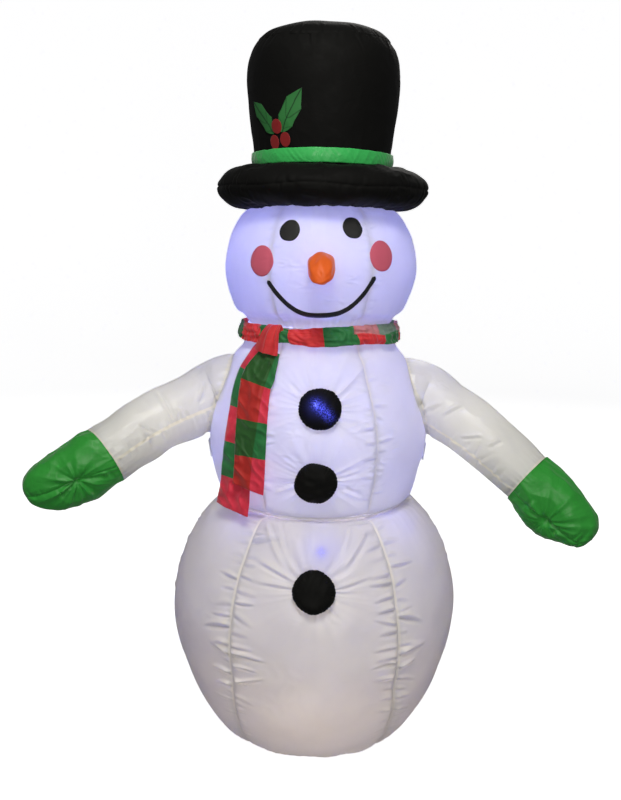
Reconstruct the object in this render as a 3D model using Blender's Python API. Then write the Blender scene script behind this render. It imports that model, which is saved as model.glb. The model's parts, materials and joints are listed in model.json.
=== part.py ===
"""Inflatable yard snowman: a sewn polyester envelope held up by a fan in its back.

In metres, +Z up, front towards -Y.

The origin is the centre of the base panel's underside, on the ground, below the figure's own axis.
"""

import math

import bmesh
import bpy
from mathutils import Matrix, Vector

# Driving dimensions -------------------------------------------------------------------------------
WALL = 0.0016  # fabric panels, thicker than the real cloth so that they are solids
SEAM_GAP = 0.0008  # between two panels that are sewn together
GORES = 6  # panels round each of the three balls, with a seam every 60 degrees
GORE_COLUMNS = 4
SEAM_PINCH = 0.012  # share of the radius by which a seam is pulled in

BASE_RADIUS = 0.098
WAIST_Z = 0.432
WAIST_RADIUS = 0.150
NECK_Z = 0.735
NECK_RADIUS = 0.1255

# Outlines as (radius, height), read through smooth curves.
LOWER_OUTLINE = [
    (BASE_RADIUS + 0.001, 0.0008),
    (0.160, 0.025),
    (0.2165, 0.117),
    (0.2465, 0.240),
    (0.2275, 0.348),
    (0.180, 0.4215),
    (WAIST_RADIUS, 0.4225),
]
TORSO_OUTLINE = [
    (WAIST_RADIUS, 0.4415),
    (0.1655, 0.452),
    (0.1865, 0.540),
    (0.1750, 0.606),
    (0.1480, 0.672),
    (0.1300, 0.697),
    (NECK_RADIUS, 0.7290),
]
HEAD_OUTLINE = [
    (NECK_RADIUS, 0.7450),
    (0.1450, 0.7600),
    (0.1619, 0.8180),
    (0.1555, 0.8710),
    (0.1360, 0.9110),
    (0.1120, 0.9340),
]

BRIM_CENTRE = (0.1450, 0.9590)  # radius and height of the middle of the brim's section
BRIM_HALF = (0.0315, 0.0350)  # half width and half height of that section
CROWN_OUTLINE = [
    (0.1132, 0.9850), (0.1165, 1.0290), (0.1232, 1.0810), (0.1268, 1.1320), (0.1215, 1.1690),
    (0.1090, 1.1925)
]
CROWN_TOP_OUTLINE = [(0.1080, 1.1940), (0.0880, 1.2085), (0.0500, 1.2190), (0.0, 1.2215)]
BAND_Z = (0.9950, 1.0165)

# Face, laid out as (arc round the head, height) and turned a little, as it is printed slightly off level.
FACE_RADIUS = 0.160
FACE_CENTRE_Z = 0.830
FACE_TURN = math.radians(3.0)
FACE_LIFT = 0.0008
PATCH = 0.0010  # thickness of a sewn-on patch
EYE = (0.0539, 0.890, 0.0142)  # arc, height and radius
CHEEK = (0.0991, 0.8437, 0.0240)
MOUTH_HALF, MOUTH_END_Z, MOUTH_LOW_Z = 0.0890, 0.8128, 0.7560
MOUTH_POWER = 2.8  # 2 would be a parabola; more is flatter below and steeper at the ends
MOUTH_STROKE = 0.0056
NOSE_Z, NOSE_RADIUS, NOSE_LENGTH, NOSE_DROOP = 0.8340, 0.0220, 0.062, math.radians(24)

BUTTON_RADIUS, BUTTON_HEIGHT = 0.0325, 0.0170
BUTTONS = {
    "button_top": (0.0022, 0.610), "button_middle": (-0.0021, 0.4925), "button_bottom": (-0.0025, 0.331)
}

HOLLY_ANGLE, HOLLY_Z = math.radians(-38), 1.0440  # where the leaves meet, round from the front

# Arms: the sleeve's middle line from the shoulder to the wrist and on to the mitten's tip, with its radius.
ARM_LEFT = {
    "line": [
        (-0.1830, 0.0, 0.6000), (-0.2180, -0.020, 0.5870), (-0.2660, -0.045, 0.5650),
        (-0.3130, -0.070, 0.5390), (-0.3508, -0.090, 0.5132)
    ],
    "radii": (0.0560, 0.0515),
    "tip": (-0.4790, -0.120, 0.4524),
}
ARM_RIGHT = {
    "line": [
        (0.1860, 0.0, 0.6040), (0.2167, -0.020, 0.5885), (0.2541, -0.040, 0.5650),
        (0.2950, -0.060, 0.5335), (0.3492, -0.085, 0.4867)
    ],
    "radii": (0.0545, 0.0470),
    "tip": (0.4541, -0.120, 0.3916),
}
SHOULDERS = {"left": (-0.172, 0.0, 0.606), "right": (0.177, 0.0, 0.610)}
SHOULDER_GAP = 0.0135  # room for the arm to flex up and down by 10 degrees
MITTEN_SHAPE = [
    (0.0, 1.0, 1.0), (0.22, 1.10, 0.94), (0.46, 1.10, 0.86), (0.70, 0.98, 0.74), (0.88, 0.74, 0.54),
    (0.99, 0.38, 0.28)
]

SCARF_Z = (0.7020, 0.7340)
SCARF_RADII = (0.1326, 0.1350)
SCARF_WIDTH = 0.050
KNOT_ANGLE = math.radians(-35)
KNOT_HALF = (0.0230, 0.0130, 0.0200)
TAIL_LIFT = 0.0060
# Middle lines of the hanging ends as (x, z), and which lies on top.
TAIL_FRONT = {
    "line": [(-0.0790, 0.6960), (-0.0935, 0.6610), (-0.1020, 0.6388), (-0.1060, 0.5830), (-0.1105, 0.4760)],
    "layer": 1,
}
TAIL_BACK = {
    "line": [(-0.0880, 0.6960), (-0.1010, 0.6680), (-0.1140, 0.6306), (-0.1209, 0.5848), (-0.1335, 0.4450)],
    "layer": 0,
}

# Fan in the back, in its own frame: its axis is the cloth's normal at the port.
PORT_Z = 0.150
PORT_RADIUS = 0.0595
FLANGE_RADIUS = 0.0700
DUCT_RADII = (0.0550, 0.0580)
DUCT_DEPTH = 0.0400
FLANGE_DEPTHS = (-0.0022, 0.0008)
MOTOR_RADIUS = 0.0165
HUB_RADIUS = 0.0190
BLADES = 7
BLADE_TIP_RADIUS = 0.0530

# Zipper across the back, along an arc about the figure's axis.
ZIP_Z = 0.345
ZIP_HALF_ANGLE = math.radians(15)
ZIP_TAPE_HALF = 0.0120
ZIP_CHAIN_HALF = 0.0025
ZIP_SLOT = (0.1100, 0.0050)

TETHER_Z = 0.5280

LAMP_RADIUS = 0.0130
LAMPS = {
    "led_lamp_lower": (0.0085, 0.0, 0.3266), "led_lamp_chest": (0.0004, 0.0, 0.5774),
    "led_lamp_head": (-0.0500, 0.010, 0.8779)
}
CABLE_DIAMETER = 0.0050
CABLE_POINTS = 66

# Colours as (red, green, blue, roughness, metallic).
FINISHES = {
    "white_cloth": (0.80, 0.80, 0.86, 0.55, 0.0),
    "black_cloth": (0.012, 0.012, 0.013, 0.60, 0.0),
    "green_cloth": (0.035, 0.26, 0.045, 0.50, 0.0),
    "band_green": (0.03, 0.36, 0.08, 0.50, 0.0),
    "scarf_red": (0.72, 0.035, 0.04, 0.55, 0.0),
    "orange_cloth": (0.86, 0.20, 0.02, 0.50, 0.0),
    "print_black": (0.012, 0.012, 0.012, 0.60, 0.0),
    "cheek_pink": (0.66, 0.07, 0.14, 0.60, 0.0),
    "berry_red": (0.48, 0.02, 0.02, 0.60, 0.0),
    "leaf_green": (0.03, 0.17, 0.04, 0.60, 0.0),
    "fan_plastic": (0.02, 0.02, 0.022, 0.40, 0.0),
    "fan_metal": (0.55, 0.55, 0.57, 0.35, 1.0),
    "zip_tape": (0.78, 0.78, 0.80, 0.70, 0.0),
    "zip_metal": (0.60, 0.60, 0.62, 0.30, 1.0),
    "webbing": (0.10, 0.10, 0.11, 0.80, 0.0),
    "lamp_clear": (0.80, 0.86, 1.00, 0.15, 0.0),
    "cable": (0.85, 0.85, 0.85, 0.50, 0.0),
}


# Blender helpers ----------------------------------------------------------------------------------
def clear_scene():
    for obj in list(bpy.data.objects):
        bpy.data.objects.remove(obj)


def finish(slot):
    """The material of that name, made once."""
    found = bpy.data.materials.get(slot)
    if found:
        return found
    red, green, blue, roughness, metallic = FINISHES[slot]
    made = bpy.data.materials.new(slot)
    made.use_nodes = True
    shader = made.node_tree.nodes["Principled BSDF"]
    shader.inputs["Base Color"].default_value = (red, green, blue, 1.0)
    shader.inputs["Roughness"].default_value = roughness
    shader.inputs["Metallic"].default_value = metallic
    return made


def add_object(name, mesh, slot, place=None):
    mesh.materials.append(finish(slot))
    mesh.shade_smooth()
    mesh.set_sharp_from_angle(angle=math.radians(40))
    obj = bpy.data.objects.new(name, mesh)
    bpy.context.scene.collection.objects.link(obj)
    if place is not None:
        obj.matrix_world = place
    return obj


def add_bmesh(name, bm, slot, place=None):
    """Turns a closed bmesh into an object whose faces point out."""
    bmesh.ops.recalc_face_normals(bm, faces=bm.faces)
    mesh = bpy.data.meshes.new(name)
    bm.to_mesh(mesh)
    bm.free()
    return add_object(name, mesh, slot, place)


def cut(obj, cutter):
    """Takes cutter out of obj with an exact Boolean, and keeps cutter as a hidden helper."""
    cutter.hide_render = True
    cutter.display_type = "WIRE"
    modifier = obj.modifiers.new("cut_" + cutter.name, "BOOLEAN")
    modifier.operation = "DIFFERENCE"
    modifier.solver = "EXACT"
    modifier.object = cutter


def join(obj, others):
    """Makes one body of obj and others with exact Boolean unions, and drops the others."""
    for other in others:
        modifier = obj.modifiers.new("join_" + other.name, "BOOLEAN")
        modifier.operation = "UNION"
        modifier.solver = "EXACT"
        modifier.object = other
    bpy.context.view_layer.update()
    graph = bpy.context.evaluated_depsgraph_get()
    mesh = bpy.data.meshes.new_from_object(obj.evaluated_get(graph))
    obj.modifiers.clear()
    obj.data = mesh
    for other in others:
        bpy.data.objects.remove(other)
    return obj


# Shapes -------------------------------------------------------------------------------------------
def smooth_points(points, count):
    """count + 1 points, evenly spaced in parameter, on a Catmull-Rom curve through the given ones."""
    knots = [Vector(point) for point in points]
    knots = [2 * knots[0] - knots[1], *knots, 2 * knots[-1] - knots[-2]]
    spans = len(points) - 1
    out = []
    for step in range(count + 1):
        place = spans * step / count
        span = min(int(place), spans - 1)
        t = place - span
        a, b, c, d = knots[span : span + 4]
        bend = (2 * a - 5 * b + 4 * c - d) * t**2
        twist = (3 * b - a - 3 * c + d) * t**3
        out.append(0.5 * (2 * b + (c - a) * t + bend + twist))
    return out


def radius_at(outline, height):
    """The outline's radius at a height, from its smooth curve."""
    curve = smooth_points(outline, 160)
    nearest = min(range(1, len(curve)), key=lambda i: abs((curve[i - 1].y + curve[i].y) / 2 - height))
    low, high = curve[nearest - 1], curve[nearest]
    share = (height - low.y) / (high.y - low.y)
    return low.x + share * (high.x - low.x)


def inner_outline(curve, wall):
    """The curve moved towards the axis side by wall, square to itself."""
    moved = []
    for i, point in enumerate(curve):
        along = curve[min(i + 1, len(curve) - 1)] - curve[max(i - 1, 0)]
        outward = Vector((along.y, -along.x)).normalized()
        moved.append(point - outward * wall)
    return moved


def around(radius, angle, height):
    """A point at that angle round from the front, -Y, towards +X."""
    return Vector((radius * math.sin(angle), -radius * math.cos(angle), height))


def stitched_grid(bm, rows, close=False):
    """Faces between neighbouring rows of vertices."""
    for low, high in zip(rows, rows[1:]):
        pairs = list(zip(low, high))
        if close:
            pairs.append(pairs[0])
        for (a, d), (b, c) in zip(pairs, pairs[1:]):
            bm.faces.new((a, b, c, d))


def gore(name, outline, middle_angle, slot, count):
    """One curved panel of a ball, between two seams."""
    outer = smooth_points(outline, count)
    bm = bmesh.new()
    skins = []
    for curve, base in ((outer, outer), (inner_outline(outer, WALL), outer)):
        rows = []
        for point, edge in zip(curve, base):
            half = math.pi / GORES - SEAM_GAP / 2 / edge.x
            row = []
            for column in range(GORE_COLUMNS + 1):
                share = 2 * column / GORE_COLUMNS - 1
                radius = point.x - SEAM_PINCH * edge.x * share**2
                row.append(bm.verts.new(around(radius, middle_angle + share * half, point.y)))
            rows.append(row)
        stitched_grid(bm, rows)
        skins.append(rows)
    outside, inside = skins
    for edge in (0, -1):
        stitched_grid(bm, [[row[edge] for row in outside], [row[edge] for row in inside]])
        stitched_grid(bm, [outside[edge], inside[edge]])
    return add_bmesh(name, bm, slot)


def turned(name, section, slot, segments=32, place=None):
    """A closed section of (radius, height) points spun about Z."""
    bm = bmesh.new()
    corners = [bm.verts.new((radius, 0, height)) for radius, height in section]
    edges = [bm.edges.new(pair) for pair in zip(corners, corners[1:] + corners[:1])]
    bmesh.ops.spin(
        bm,
        geom=corners + edges,
        cent=(0, 0, 0),
        axis=(0, 0, 1),
        angle=2 * math.pi,
        steps=segments,
        use_merge=True,
    )
    bmesh.ops.remove_doubles(bm, verts=bm.verts, dist=1e-6)
    return add_bmesh(name, bm, slot, place)


def turned_wall(name, curve, slot, wall=WALL, segments=32, place=None):
    """A thin wall inside an open curve of (radius, height) points, spun about Z. It may end on the axis."""
    inside = inner_outline(curve, wall)
    if curve[-1].x < 1e-6:
        inside[-1] = Vector((0, curve[-1].y - wall))
    return turned(name, [*curve, *reversed(inside)], slot, segments, place)


def tube_wall(name, rings, slot, wall=WALL, close_end=False):
    """A thin-walled sleeve through rings of points, with its far end open or closed."""
    bm = bmesh.new()
    skins = []
    for inward in (0.0, wall):
        rows = []
        for i, ring in enumerate(rings):
            middle = sum(ring, Vector()) / len(ring)
            drawn = [point + (middle - point).normalized() * inward for point in ring]
            if close_end and i == len(rings) - 1:
                along = (middle - sum(rings[-2], Vector()) / len(rings[-2])).normalized()
                drawn = [point - along * inward for point in drawn]
            rows.append([bm.verts.new(point) for point in drawn])
        stitched_grid(bm, rows, close=True)
        if close_end:
            bm.faces.new(rows[-1])
        skins.append(rows)
    stitched_grid(bm, [skins[0][0], skins[1][0]], close=True)
    if not close_end:
        stitched_grid(bm, [skins[0][-1], skins[1][-1]], close=True)
    return add_bmesh(name, bm, slot)


def patch(name, bm, place, slot, lift=FACE_LIFT, thickness=PATCH):
    """A flat bmesh in (u, v), thickened and laid on a surface by place(u, v, height above it)."""
    top = bmesh.ops.extrude_face_region(bm, geom=bm.faces[:])
    for vertex in (item for item in top["geom"] if isinstance(item, bmesh.types.BMVert)):
        vertex.co.z = thickness
    for vertex in bm.verts:
        vertex.co = place(vertex.co.x, vertex.co.y, lift + vertex.co.z)
    return add_bmesh(name, bm, slot)


def filled_outline(points, halve=True):
    """A flat bmesh inside an outline, with a point in its middle and halved edges so that it can bend."""
    bm = bmesh.new()
    face = bm.faces.new([bm.verts.new((u, v, 0)) for u, v in points])
    bmesh.ops.poke(bm, faces=[face])
    if halve:
        bmesh.ops.subdivide_edges(bm, edges=bm.edges[:], cuts=1, use_grid_fill=True)
    return bm


def frame_on(outline, angle, height, lift=0.0):
    """A matrix whose +Z is the normal of a turned surface and whose +Y is uphill along it."""
    step = 0.004
    point = around(radius_at(outline, height), angle, height)
    uphill = around(radius_at(outline, height + step), angle, height + step)
    uphill = (uphill - around(radius_at(outline, height - step), angle, height - step)).normalized()
    sideways = Vector((math.cos(angle), math.sin(angle), 0))
    normal = sideways.cross(uphill).normalized()
    frame = Matrix((sideways, uphill, normal)).transposed().to_4x4()
    return Matrix.Translation(point + normal * lift) @ frame


# The three balls ----------------------------------------------------------------------------------
def base_panel():
    section = [(0.0, 0.0), (BASE_RADIUS - SEAM_GAP, 0.0), (BASE_RADIUS - SEAM_GAP, 0.002), (0.0, 0.002)]
    return turned("base_panel", section, "white_cloth", segments=36)


def gores(prefix, outline, count):
    """The panels of one ball, numbered round from the front one."""
    return [
        gore(
            f"{prefix}_panel_{i + 1}", outline, i * 2 * math.pi / GORES, "white_cloth", count
        ) for i in range(GORES)
    ]


def sewn_band(name, below, above):
    """The cloth between two balls, which bends as the upper one leans."""
    low, high = below[-1][1] + 0.0008, above[0][1] - 0.0008
    radius = above[0][0] - 0.001
    section = [(radius, low), (radius, high), (radius - WALL, high), (radius - WALL, low)]
    return turned(name, section, "white_cloth", segments=36)


# Hat ----------------------------------------------------------------------------------------------
def brim_section(start, end, steps):
    """Points round the brim's section from one angle to another, 0 being outwards and 90 degrees up."""
    angles = [start + (end - start) * i / steps for i in range(steps + 1)]
    return [
        Vector(
            (BRIM_CENTRE[0] + BRIM_HALF[0] * math.cos(a), BRIM_CENTRE[1] + BRIM_HALF[1] * math.sin(a))
        ) for a in angles
    ]


def hat():
    seam = math.radians(1)
    turned_wall(
        "hat_brim_under", brim_section(math.radians(-150), -seam, 5), "black_cloth", segments=32
    )
    turned_wall("hat_brim_top", brim_section(seam, math.radians(150), 5), "black_cloth", segments=32)
    turned_wall("hat_crown_side", smooth_points(CROWN_OUTLINE, 6), "black_cloth", segments=32)
    turned_wall("hat_crown_top", smooth_points(CROWN_TOP_OUTLINE, 4), "black_cloth", segments=32)
    low, high = BAND_Z
    near = CROWN_OUTLINE[1][0] + 0.0006
    section = [(near - 0.0012, low), (near + 0.001, low), (near + 0.002, high), (near + 0.0002, high)]
    turned("hat_band", section, "band_green", segments=32)


def on_crown(u, v, height):
    """A point on the hat: u is the arc and v the height from where the holly leaves meet."""
    z = HOLLY_Z + v
    radius = radius_at(CROWN_OUTLINE, z)
    return around(radius + height, HOLLY_ANGLE + u / radius, z)


def leaf_outline(length, width, lean, start):
    """A holly leaf with three spines a side, leaning from upright by lean, as (u, v) points."""
    spines = [(0.02, 0.10), (0.28, 0.46), (0.42, 0.30), (0.62, 0.50), (0.76, 0.32)]
    side = [(share * length, spread * width) for share, spread in spines]
    tip = [(length, 0.0)]
    local = [*side, *tip, *((along, -across) for along, across in reversed(side))]
    cos, sin = math.cos(lean), math.sin(lean)
    return [
        (start[0] + along * sin + across * cos, start[1] + along * cos - across * sin) for along,
        across in local
    ]


def disc_outline(u, v, half_u, half_v, count=16):
    angles = [2 * math.pi * i / count for i in range(count)]
    return [(u + half_u * math.cos(a), v + half_v * math.sin(a)) for a in angles]


def holly():
    """Two leaves that meet at their feet as one patch, and three berries as another, on top of it."""
    left = patch(
        "holly_leaves", filled_outline(leaf_outline(0.064, 0.034, math.radians(-33), (0.004, 0.0))),
        on_crown, "leaf_green"
    )
    right = patch(
        "holly_leaf_right", filled_outline(leaf_outline(0.078, 0.040, math.radians(38), (-0.004, 0.0))),
        on_crown, "leaf_green"
    )
    join(left, [right])
    spots = {
        "holly_berries": (0.0015, 0.0085), "berry_left": (-0.0065, -0.0110),
        "berry_right": (0.0100, -0.0085)
    }
    berries = [
        patch(
            name, filled_outline(disc_outline(u, v, 0.0108, 0.0118, 14), halve=False), on_crown,
            "berry_red", lift=2 * PATCH + FACE_LIFT
        )
        for name, (u, v) in spots.items()
    ]
    join(berries[0], berries[1:])


# Face ---------------------------------------------------------------------------------------------
def on_face(u, v, height):
    """A point on the head: u is the arc and v the height from the face's middle, before its turn."""
    arc = u * math.cos(FACE_TURN) - v * math.sin(FACE_TURN)
    z = FACE_CENTRE_Z + u * math.sin(FACE_TURN) + v * math.cos(FACE_TURN)
    return around(radius_at(HEAD_OUTLINE, z) + height, arc / FACE_RADIUS, z)


def mouth_band():
    """A flat band along the smile, in (u, v)."""
    bm = bmesh.new()
    steps = 24
    rows = [[], []]
    centre = []
    for i in range(steps + 1):
        share = 2 * i / steps - 1
        low = MOUTH_LOW_Z + (MOUTH_END_Z - MOUTH_LOW_Z) * abs(share) ** MOUTH_POWER
        centre.append(Vector((MOUTH_HALF * share, low - FACE_CENTRE_Z)))
    for i, point in enumerate(centre):
        along = centre[min(i + 1, steps)] - centre[max(i - 1, 0)]
        side = Vector((-along.y, along.x)).normalized() * MOUTH_STROKE / 2
        rows[0].append(bm.verts.new((*(point - side), 0)))
        rows[1].append(bm.verts.new((*(point + side), 0)))
    stitched_grid(bm, rows)
    return bm


def face():
    for side, sign in (("left", -1), ("right", 1)):
        for name, (arc, height, radius), slot in (
            ("eye", EYE, "print_black"), ("cheek", CHEEK, "cheek_pink")
        ):
            outline = disc_outline(sign * arc, height - FACE_CENTRE_Z, radius, radius)
            patch(f"{name}_{side}", filled_outline(outline), on_face, slot)
    patch("mouth", mouth_band(), on_face, "print_black")


def nose():
    """A hollow cone, open at the face, that droops a little."""
    place = frame_on(HEAD_OUTLINE, 0.0, NOSE_Z, lift=0.0012)
    outline = [
        (NOSE_RADIUS, 0.0), (NOSE_RADIUS * 0.98, NOSE_LENGTH * 0.25),
        (NOSE_RADIUS * 0.72, NOSE_LENGTH * 0.62)
    ]
    outline += [(NOSE_RADIUS * 0.34, NOSE_LENGTH * 0.92), (0.0, NOSE_LENGTH)]
    made = turned_wall("nose", smooth_points(outline, 6), "orange_cloth", segments=16)
    droop = math.tan(NOSE_DROOP)
    for vertex in made.data.vertices:
        vertex.co.y -= droop * vertex.co.z**2 / NOSE_LENGTH
    made.matrix_world = place
    return made


def buttons():
    for name, (x, height) in BUTTONS.items():
        outline = LOWER_OUTLINE if height < WAIST_Z else TORSO_OUTLINE
        angle = math.asin(x / radius_at(outline, height))
        place = frame_on(outline, angle, height, lift=0.0008)
        curve = [
            (
                BUTTON_RADIUS * math.cos(a), BUTTON_HEIGHT * math.sin(a)
            ) for a in (math.pi / 2 * i / 4 for i in range(4))
        ]
        curve.append((0.0, BUTTON_HEIGHT))
        turned_wall(name, [Vector(point) for point in curve], "black_cloth", segments=20, place=place)


# Arms ---------------------------------------------------------------------------------------------
def ring_round(middle, along, half_up, half_deep, count=16):
    """Points round a middle line, half_up in the upright plane through it and half_deep across that."""
    across = along.cross(Vector((0, 0, 1))).normalized()
    up = across.cross(along).normalized()
    angles = [2 * math.pi * i / count for i in range(count)]
    return [middle + up * half_up * math.cos(a) + across * half_deep * math.sin(a) for a in angles]


def clear_of_torso(ring, along, gap):
    """The ring slid along the arm, point by point, until it clears the torso by the gap."""
    slid = []
    for point in ring:
        at = point.copy()
        while math.hypot(at.x, at.y) < radius_at(TORSO_OUTLINE, at.z) + gap:
            at += along * 0.001
        slid.append(at)
    return slid


def arm(side, shape):
    """A sleeve, which is a tube open at both ends, and a mitten, which is open at the wrist."""
    line = smooth_points(shape["line"], 6)
    first, last = shape["radii"]
    start = (line[1] - line[0]).normalized()
    rings = [
        clear_of_torso(ring_round(line[0] - start * 0.03, start, first, first), start, SHOULDER_GAP)
    ]
    for i in range(1, 7):
        along = (line[min(i + 1, 6)] - line[i - 1]).normalized()
        radius = first + (last - first) * i / 6
        rings.append(
            clear_of_torso(ring_round(line[i], along, radius, radius), along, SHOULDER_GAP + 0.006 * i)
        )
    tube_wall(f"sleeve_{side}", rings, "white_cloth")

    wrist, tip = line[-1], Vector(shape["tip"])
    along = (tip - wrist).normalized()
    begin = wrist + (line[-1] - line[-2]).normalized() * SEAM_GAP
    length = (tip - begin).length
    hand = [
        ring_round(
            begin + along * share * length, along if share else (line[-1] - line[-2]).normalized(),
            last * up, last * deep
        )
        for share, up, deep in MITTEN_SHAPE
    ]
    tube_wall(f"mitten_{side}", hand, "green_cloth", close_end=True)


# Scarf --------------------------------------------------------------------------------------------
def tail(name, shape, slot):
    """A strip of scarf that lies over the torso's bulge and then hangs straight down."""
    lift = TAIL_LIFT + shape["layer"] * 0.004
    bulge = max(outline[0] for outline in TORSO_OUTLINE)
    rows_front, rows_back = [], []
    bm = bmesh.new()
    for x, z in smooth_points(shape["line"], 12):
        surface = radius_at(TORSO_OUTLINE, z) if z > 0.54 else bulge
        row_front, row_back = [], []
        for column in range(4):
            at = x + SCARF_WIDTH * (column / 3 - 0.5)
            outward = math.sqrt((surface + lift) ** 2 - at**2)
            row_front.append(bm.verts.new((at, -outward - WALL, z)))
            row_back.append(bm.verts.new((at, -outward, z)))
        rows_front.append(row_front)
        rows_back.append(row_back)
    stitched_grid(bm, rows_front)
    stitched_grid(bm, rows_back)
    for edge in (0, -1):
        stitched_grid(bm, [rows_front[edge], rows_back[edge]])
        stitched_grid(bm, [[row[edge] for row in rows_front], [row[edge] for row in rows_back]])
    return add_bmesh(name, bm, slot)


def scarf():
    low, high = SCARF_Z
    near, far = SCARF_RADII
    turned("scarf_wrap", [(near, low), (far, low), (far, high), (near, high)], "scarf_red", segments=36)
    bm = bmesh.new()
    bmesh.ops.create_icosphere(bm, subdivisions=2, radius=1.0)
    bmesh.ops.scale(bm, vec=KNOT_HALF, verts=bm.verts)
    place = Matrix.Translation(
        around(far + KNOT_HALF[1] + 0.0008, KNOT_ANGLE, 0.5 * (low + high) + 0.003)
    )
    add_bmesh("scarf_knot", bm, "scarf_red", place @ Matrix.Rotation(KNOT_ANGLE, 4, "Z"))
    tail("scarf_tail_front", TAIL_FRONT, "scarf_red")
    tail("scarf_tail_back", TAIL_BACK, "scarf_red")


# Fan ----------------------------------------------------------------------------------------------
def polar_plate(name, radii, angles, solid, bottom, thickness, slot, place):
    """A flat plate with holes: the cells of a polar grid that solid(ring, sector) picks, made thick."""
    bm = bmesh.new()
    rows = [[bm.verts.new((r * math.cos(a), r * math.sin(a), bottom)) for a in angles] for r in radii]
    for ring, (low, high) in enumerate(zip(rows, rows[1:])):
        for sector in range(len(angles)):
            after = (sector + 1) % len(angles)
            if solid(ring, sector):
                bm.faces.new((low[sector], low[after], high[after], high[sector]))
    loose = [vertex for vertex in bm.verts if not vertex.link_faces]
    bmesh.ops.delete(bm, geom=loose, context="VERTS")
    top = bmesh.ops.extrude_face_region(bm, geom=bm.faces[:])
    raised = [item for item in top["geom"] if isinstance(item, bmesh.types.BMVert)]
    bmesh.ops.translate(bm, verts=raised, vec=(0, 0, thickness))
    return add_bmesh(name, bm, slot, place)


def spoke_angles(spokes, half_width):
    """Angles of a polar grid: each sector is a narrow spoke, then three parts of the gap after it."""
    pitch = 2 * math.pi / spokes
    offsets = [-half_width, half_width, pitch / 3, 2 * pitch / 3]
    return [i * pitch + offset for i in range(spokes) for offset in offsets]


def intake_grille(place):
    """Concentric rings on six spokes."""
    radii = [0.0060, 0.0150, 0.0180, 0.0270, 0.0300, 0.0390, 0.0420, 0.0500, 0.0535]
    angles = spoke_angles(6, math.radians(3.0))
    bottom = FLANGE_DEPTHS[1] - 0.0026
    return polar_plate(
        "intake_grille",
        radii,
        angles,
        lambda ring, sector: ring % 2 == 1 or ring == 0 or sector % 4 == 0,
        bottom,
        0.0022,
        "fan_plastic",
        place,
    )


def blower_housing(place):
    """A duct with a flange outside the cloth, moulded in one with the motor's spokes and seat."""
    duct_in, duct_out = DUCT_RADII
    low, high = FLANGE_DEPTHS
    section = [
        (duct_in, -DUCT_DEPTH), (duct_out, -DUCT_DEPTH), (duct_out, low), (FLANGE_RADIUS, low),
        (FLANGE_RADIUS, high), (duct_in, high)
    ]
    housing = turned("blower_housing", section, "fan_plastic", segments=32, place=place)
    radii = [0.004, 0.0175, 0.036, duct_in + 0.001]
    angles = spoke_angles(4, math.radians(5.0))
    seat = polar_plate(
        "motor_seat",
        radii,
        angles,
        lambda ring, sector: ring == 0 or sector % 4 == 0,
        -DUCT_DEPTH,
        0.003,
        "fan_plastic",
        place,
    )
    return join(housing, [seat])


def motor(place):
    """The motor's can with its shaft stub, on the seat."""
    low = -DUCT_DEPTH + 0.0034
    top = -0.0200
    section = [(0.0, low), (MOTOR_RADIUS, low), (MOTOR_RADIUS, top), (0.0, top)]
    return turned("fan_motor", section, "fan_metal", segments=24, place=place)


def blade(angle):
    """One twisted blade, from inside the hub's skirt to near the duct."""
    bm = bmesh.new()
    rows = []
    stations = 5
    for i in range(stations + 1):
        radius = HUB_RADIUS - 0.0010 + (BLADE_TIP_RADIUS - HUB_RADIUS + 0.0010) * i / stations
        pitch = math.radians(48 - 22 * i / stations)
        chord = 0.0125 + 0.0065 * i / stations
        middle = Vector((radius, 0, -0.0158))
        along = Vector((0, math.cos(pitch), math.sin(pitch))) * chord / 2
        thick = Vector((0, -math.sin(pitch), math.cos(pitch))) * 0.0007
        corners = (
            middle - along - thick, middle + along - thick, middle + along + thick,
            middle - along + thick
        )
        rows.append([bm.verts.new(Matrix.Rotation(angle, 3, "Z") @ corner) for corner in corners])
    stitched_grid(bm, rows, close=True)
    bm.faces.new(rows[0])
    bm.faces.new(rows[-1])
    return add_bmesh(f"blade_{angle:.2f}", bm, "fan_plastic")


def impeller(place):
    """A cup-shaped hub over the motor, with its blades."""
    rim, crown = -0.0260, -0.0085
    inner = HUB_RADIUS - 0.0016
    section = [
        (0.0, crown), (HUB_RADIUS - 0.003, crown), (HUB_RADIUS, crown - 0.003), (HUB_RADIUS, rim),
        (inner, rim), (inner, crown - 0.002), (0.0, crown - 0.002)
    ]
    hub = turned("impeller", section, "fan_plastic", segments=28)
    join(hub, [blade(2 * math.pi * i / BLADES) for i in range(BLADES)])
    hub.matrix_world = place
    return hub


def power_jack(place):
    """The fan's low-voltage inlet: a barrel socket on the flange's lower edge."""
    section = [
        (0.0, 0.0), (0.0055, 0.0), (0.0055, 0.0150), (0.0030, 0.0150), (0.0030, 0.0040), (0.0, 0.0040)
    ]
    at = Matrix.Translation((0, -(FLANGE_RADIUS - 0.0065), FLANGE_DEPTHS[1] + 0.0004))
    return turned("power_jack", section, "fan_plastic", segments=20, place=place @ at)


def fan(rear_panel):
    place = frame_on(LOWER_OUTLINE, math.pi, PORT_Z)
    depth = 0.06
    hole = turned(
        "port_cutter", [(0.0, -depth), (PORT_RADIUS, -depth), (PORT_RADIUS, depth), (0.0, depth)],
        "webbing", segments=32, place=place
    )
    cut(rear_panel, hole)
    blower_housing(place)
    intake_grille(place)
    motor(place)
    impeller(place)
    power_jack(place)


# Zipper -------------------------------------------------------------------------------------------
def arc_bar(name, section, start, end, steps, slot):
    """A section of (radius, height) points swept about Z from one angle to another."""
    bm = bmesh.new()
    angles = [start + (end - start) * i / steps for i in range(steps + 1)]
    rows = [
        [bm.verts.new(around(radius, angle, height)) for radius, height in section] for angle in angles
    ]
    stitched_grid(bm, rows, close=True)
    bm.faces.new(rows[0])
    bm.faces.new(rows[-1])
    return add_bmesh(name, bm, slot)


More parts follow.
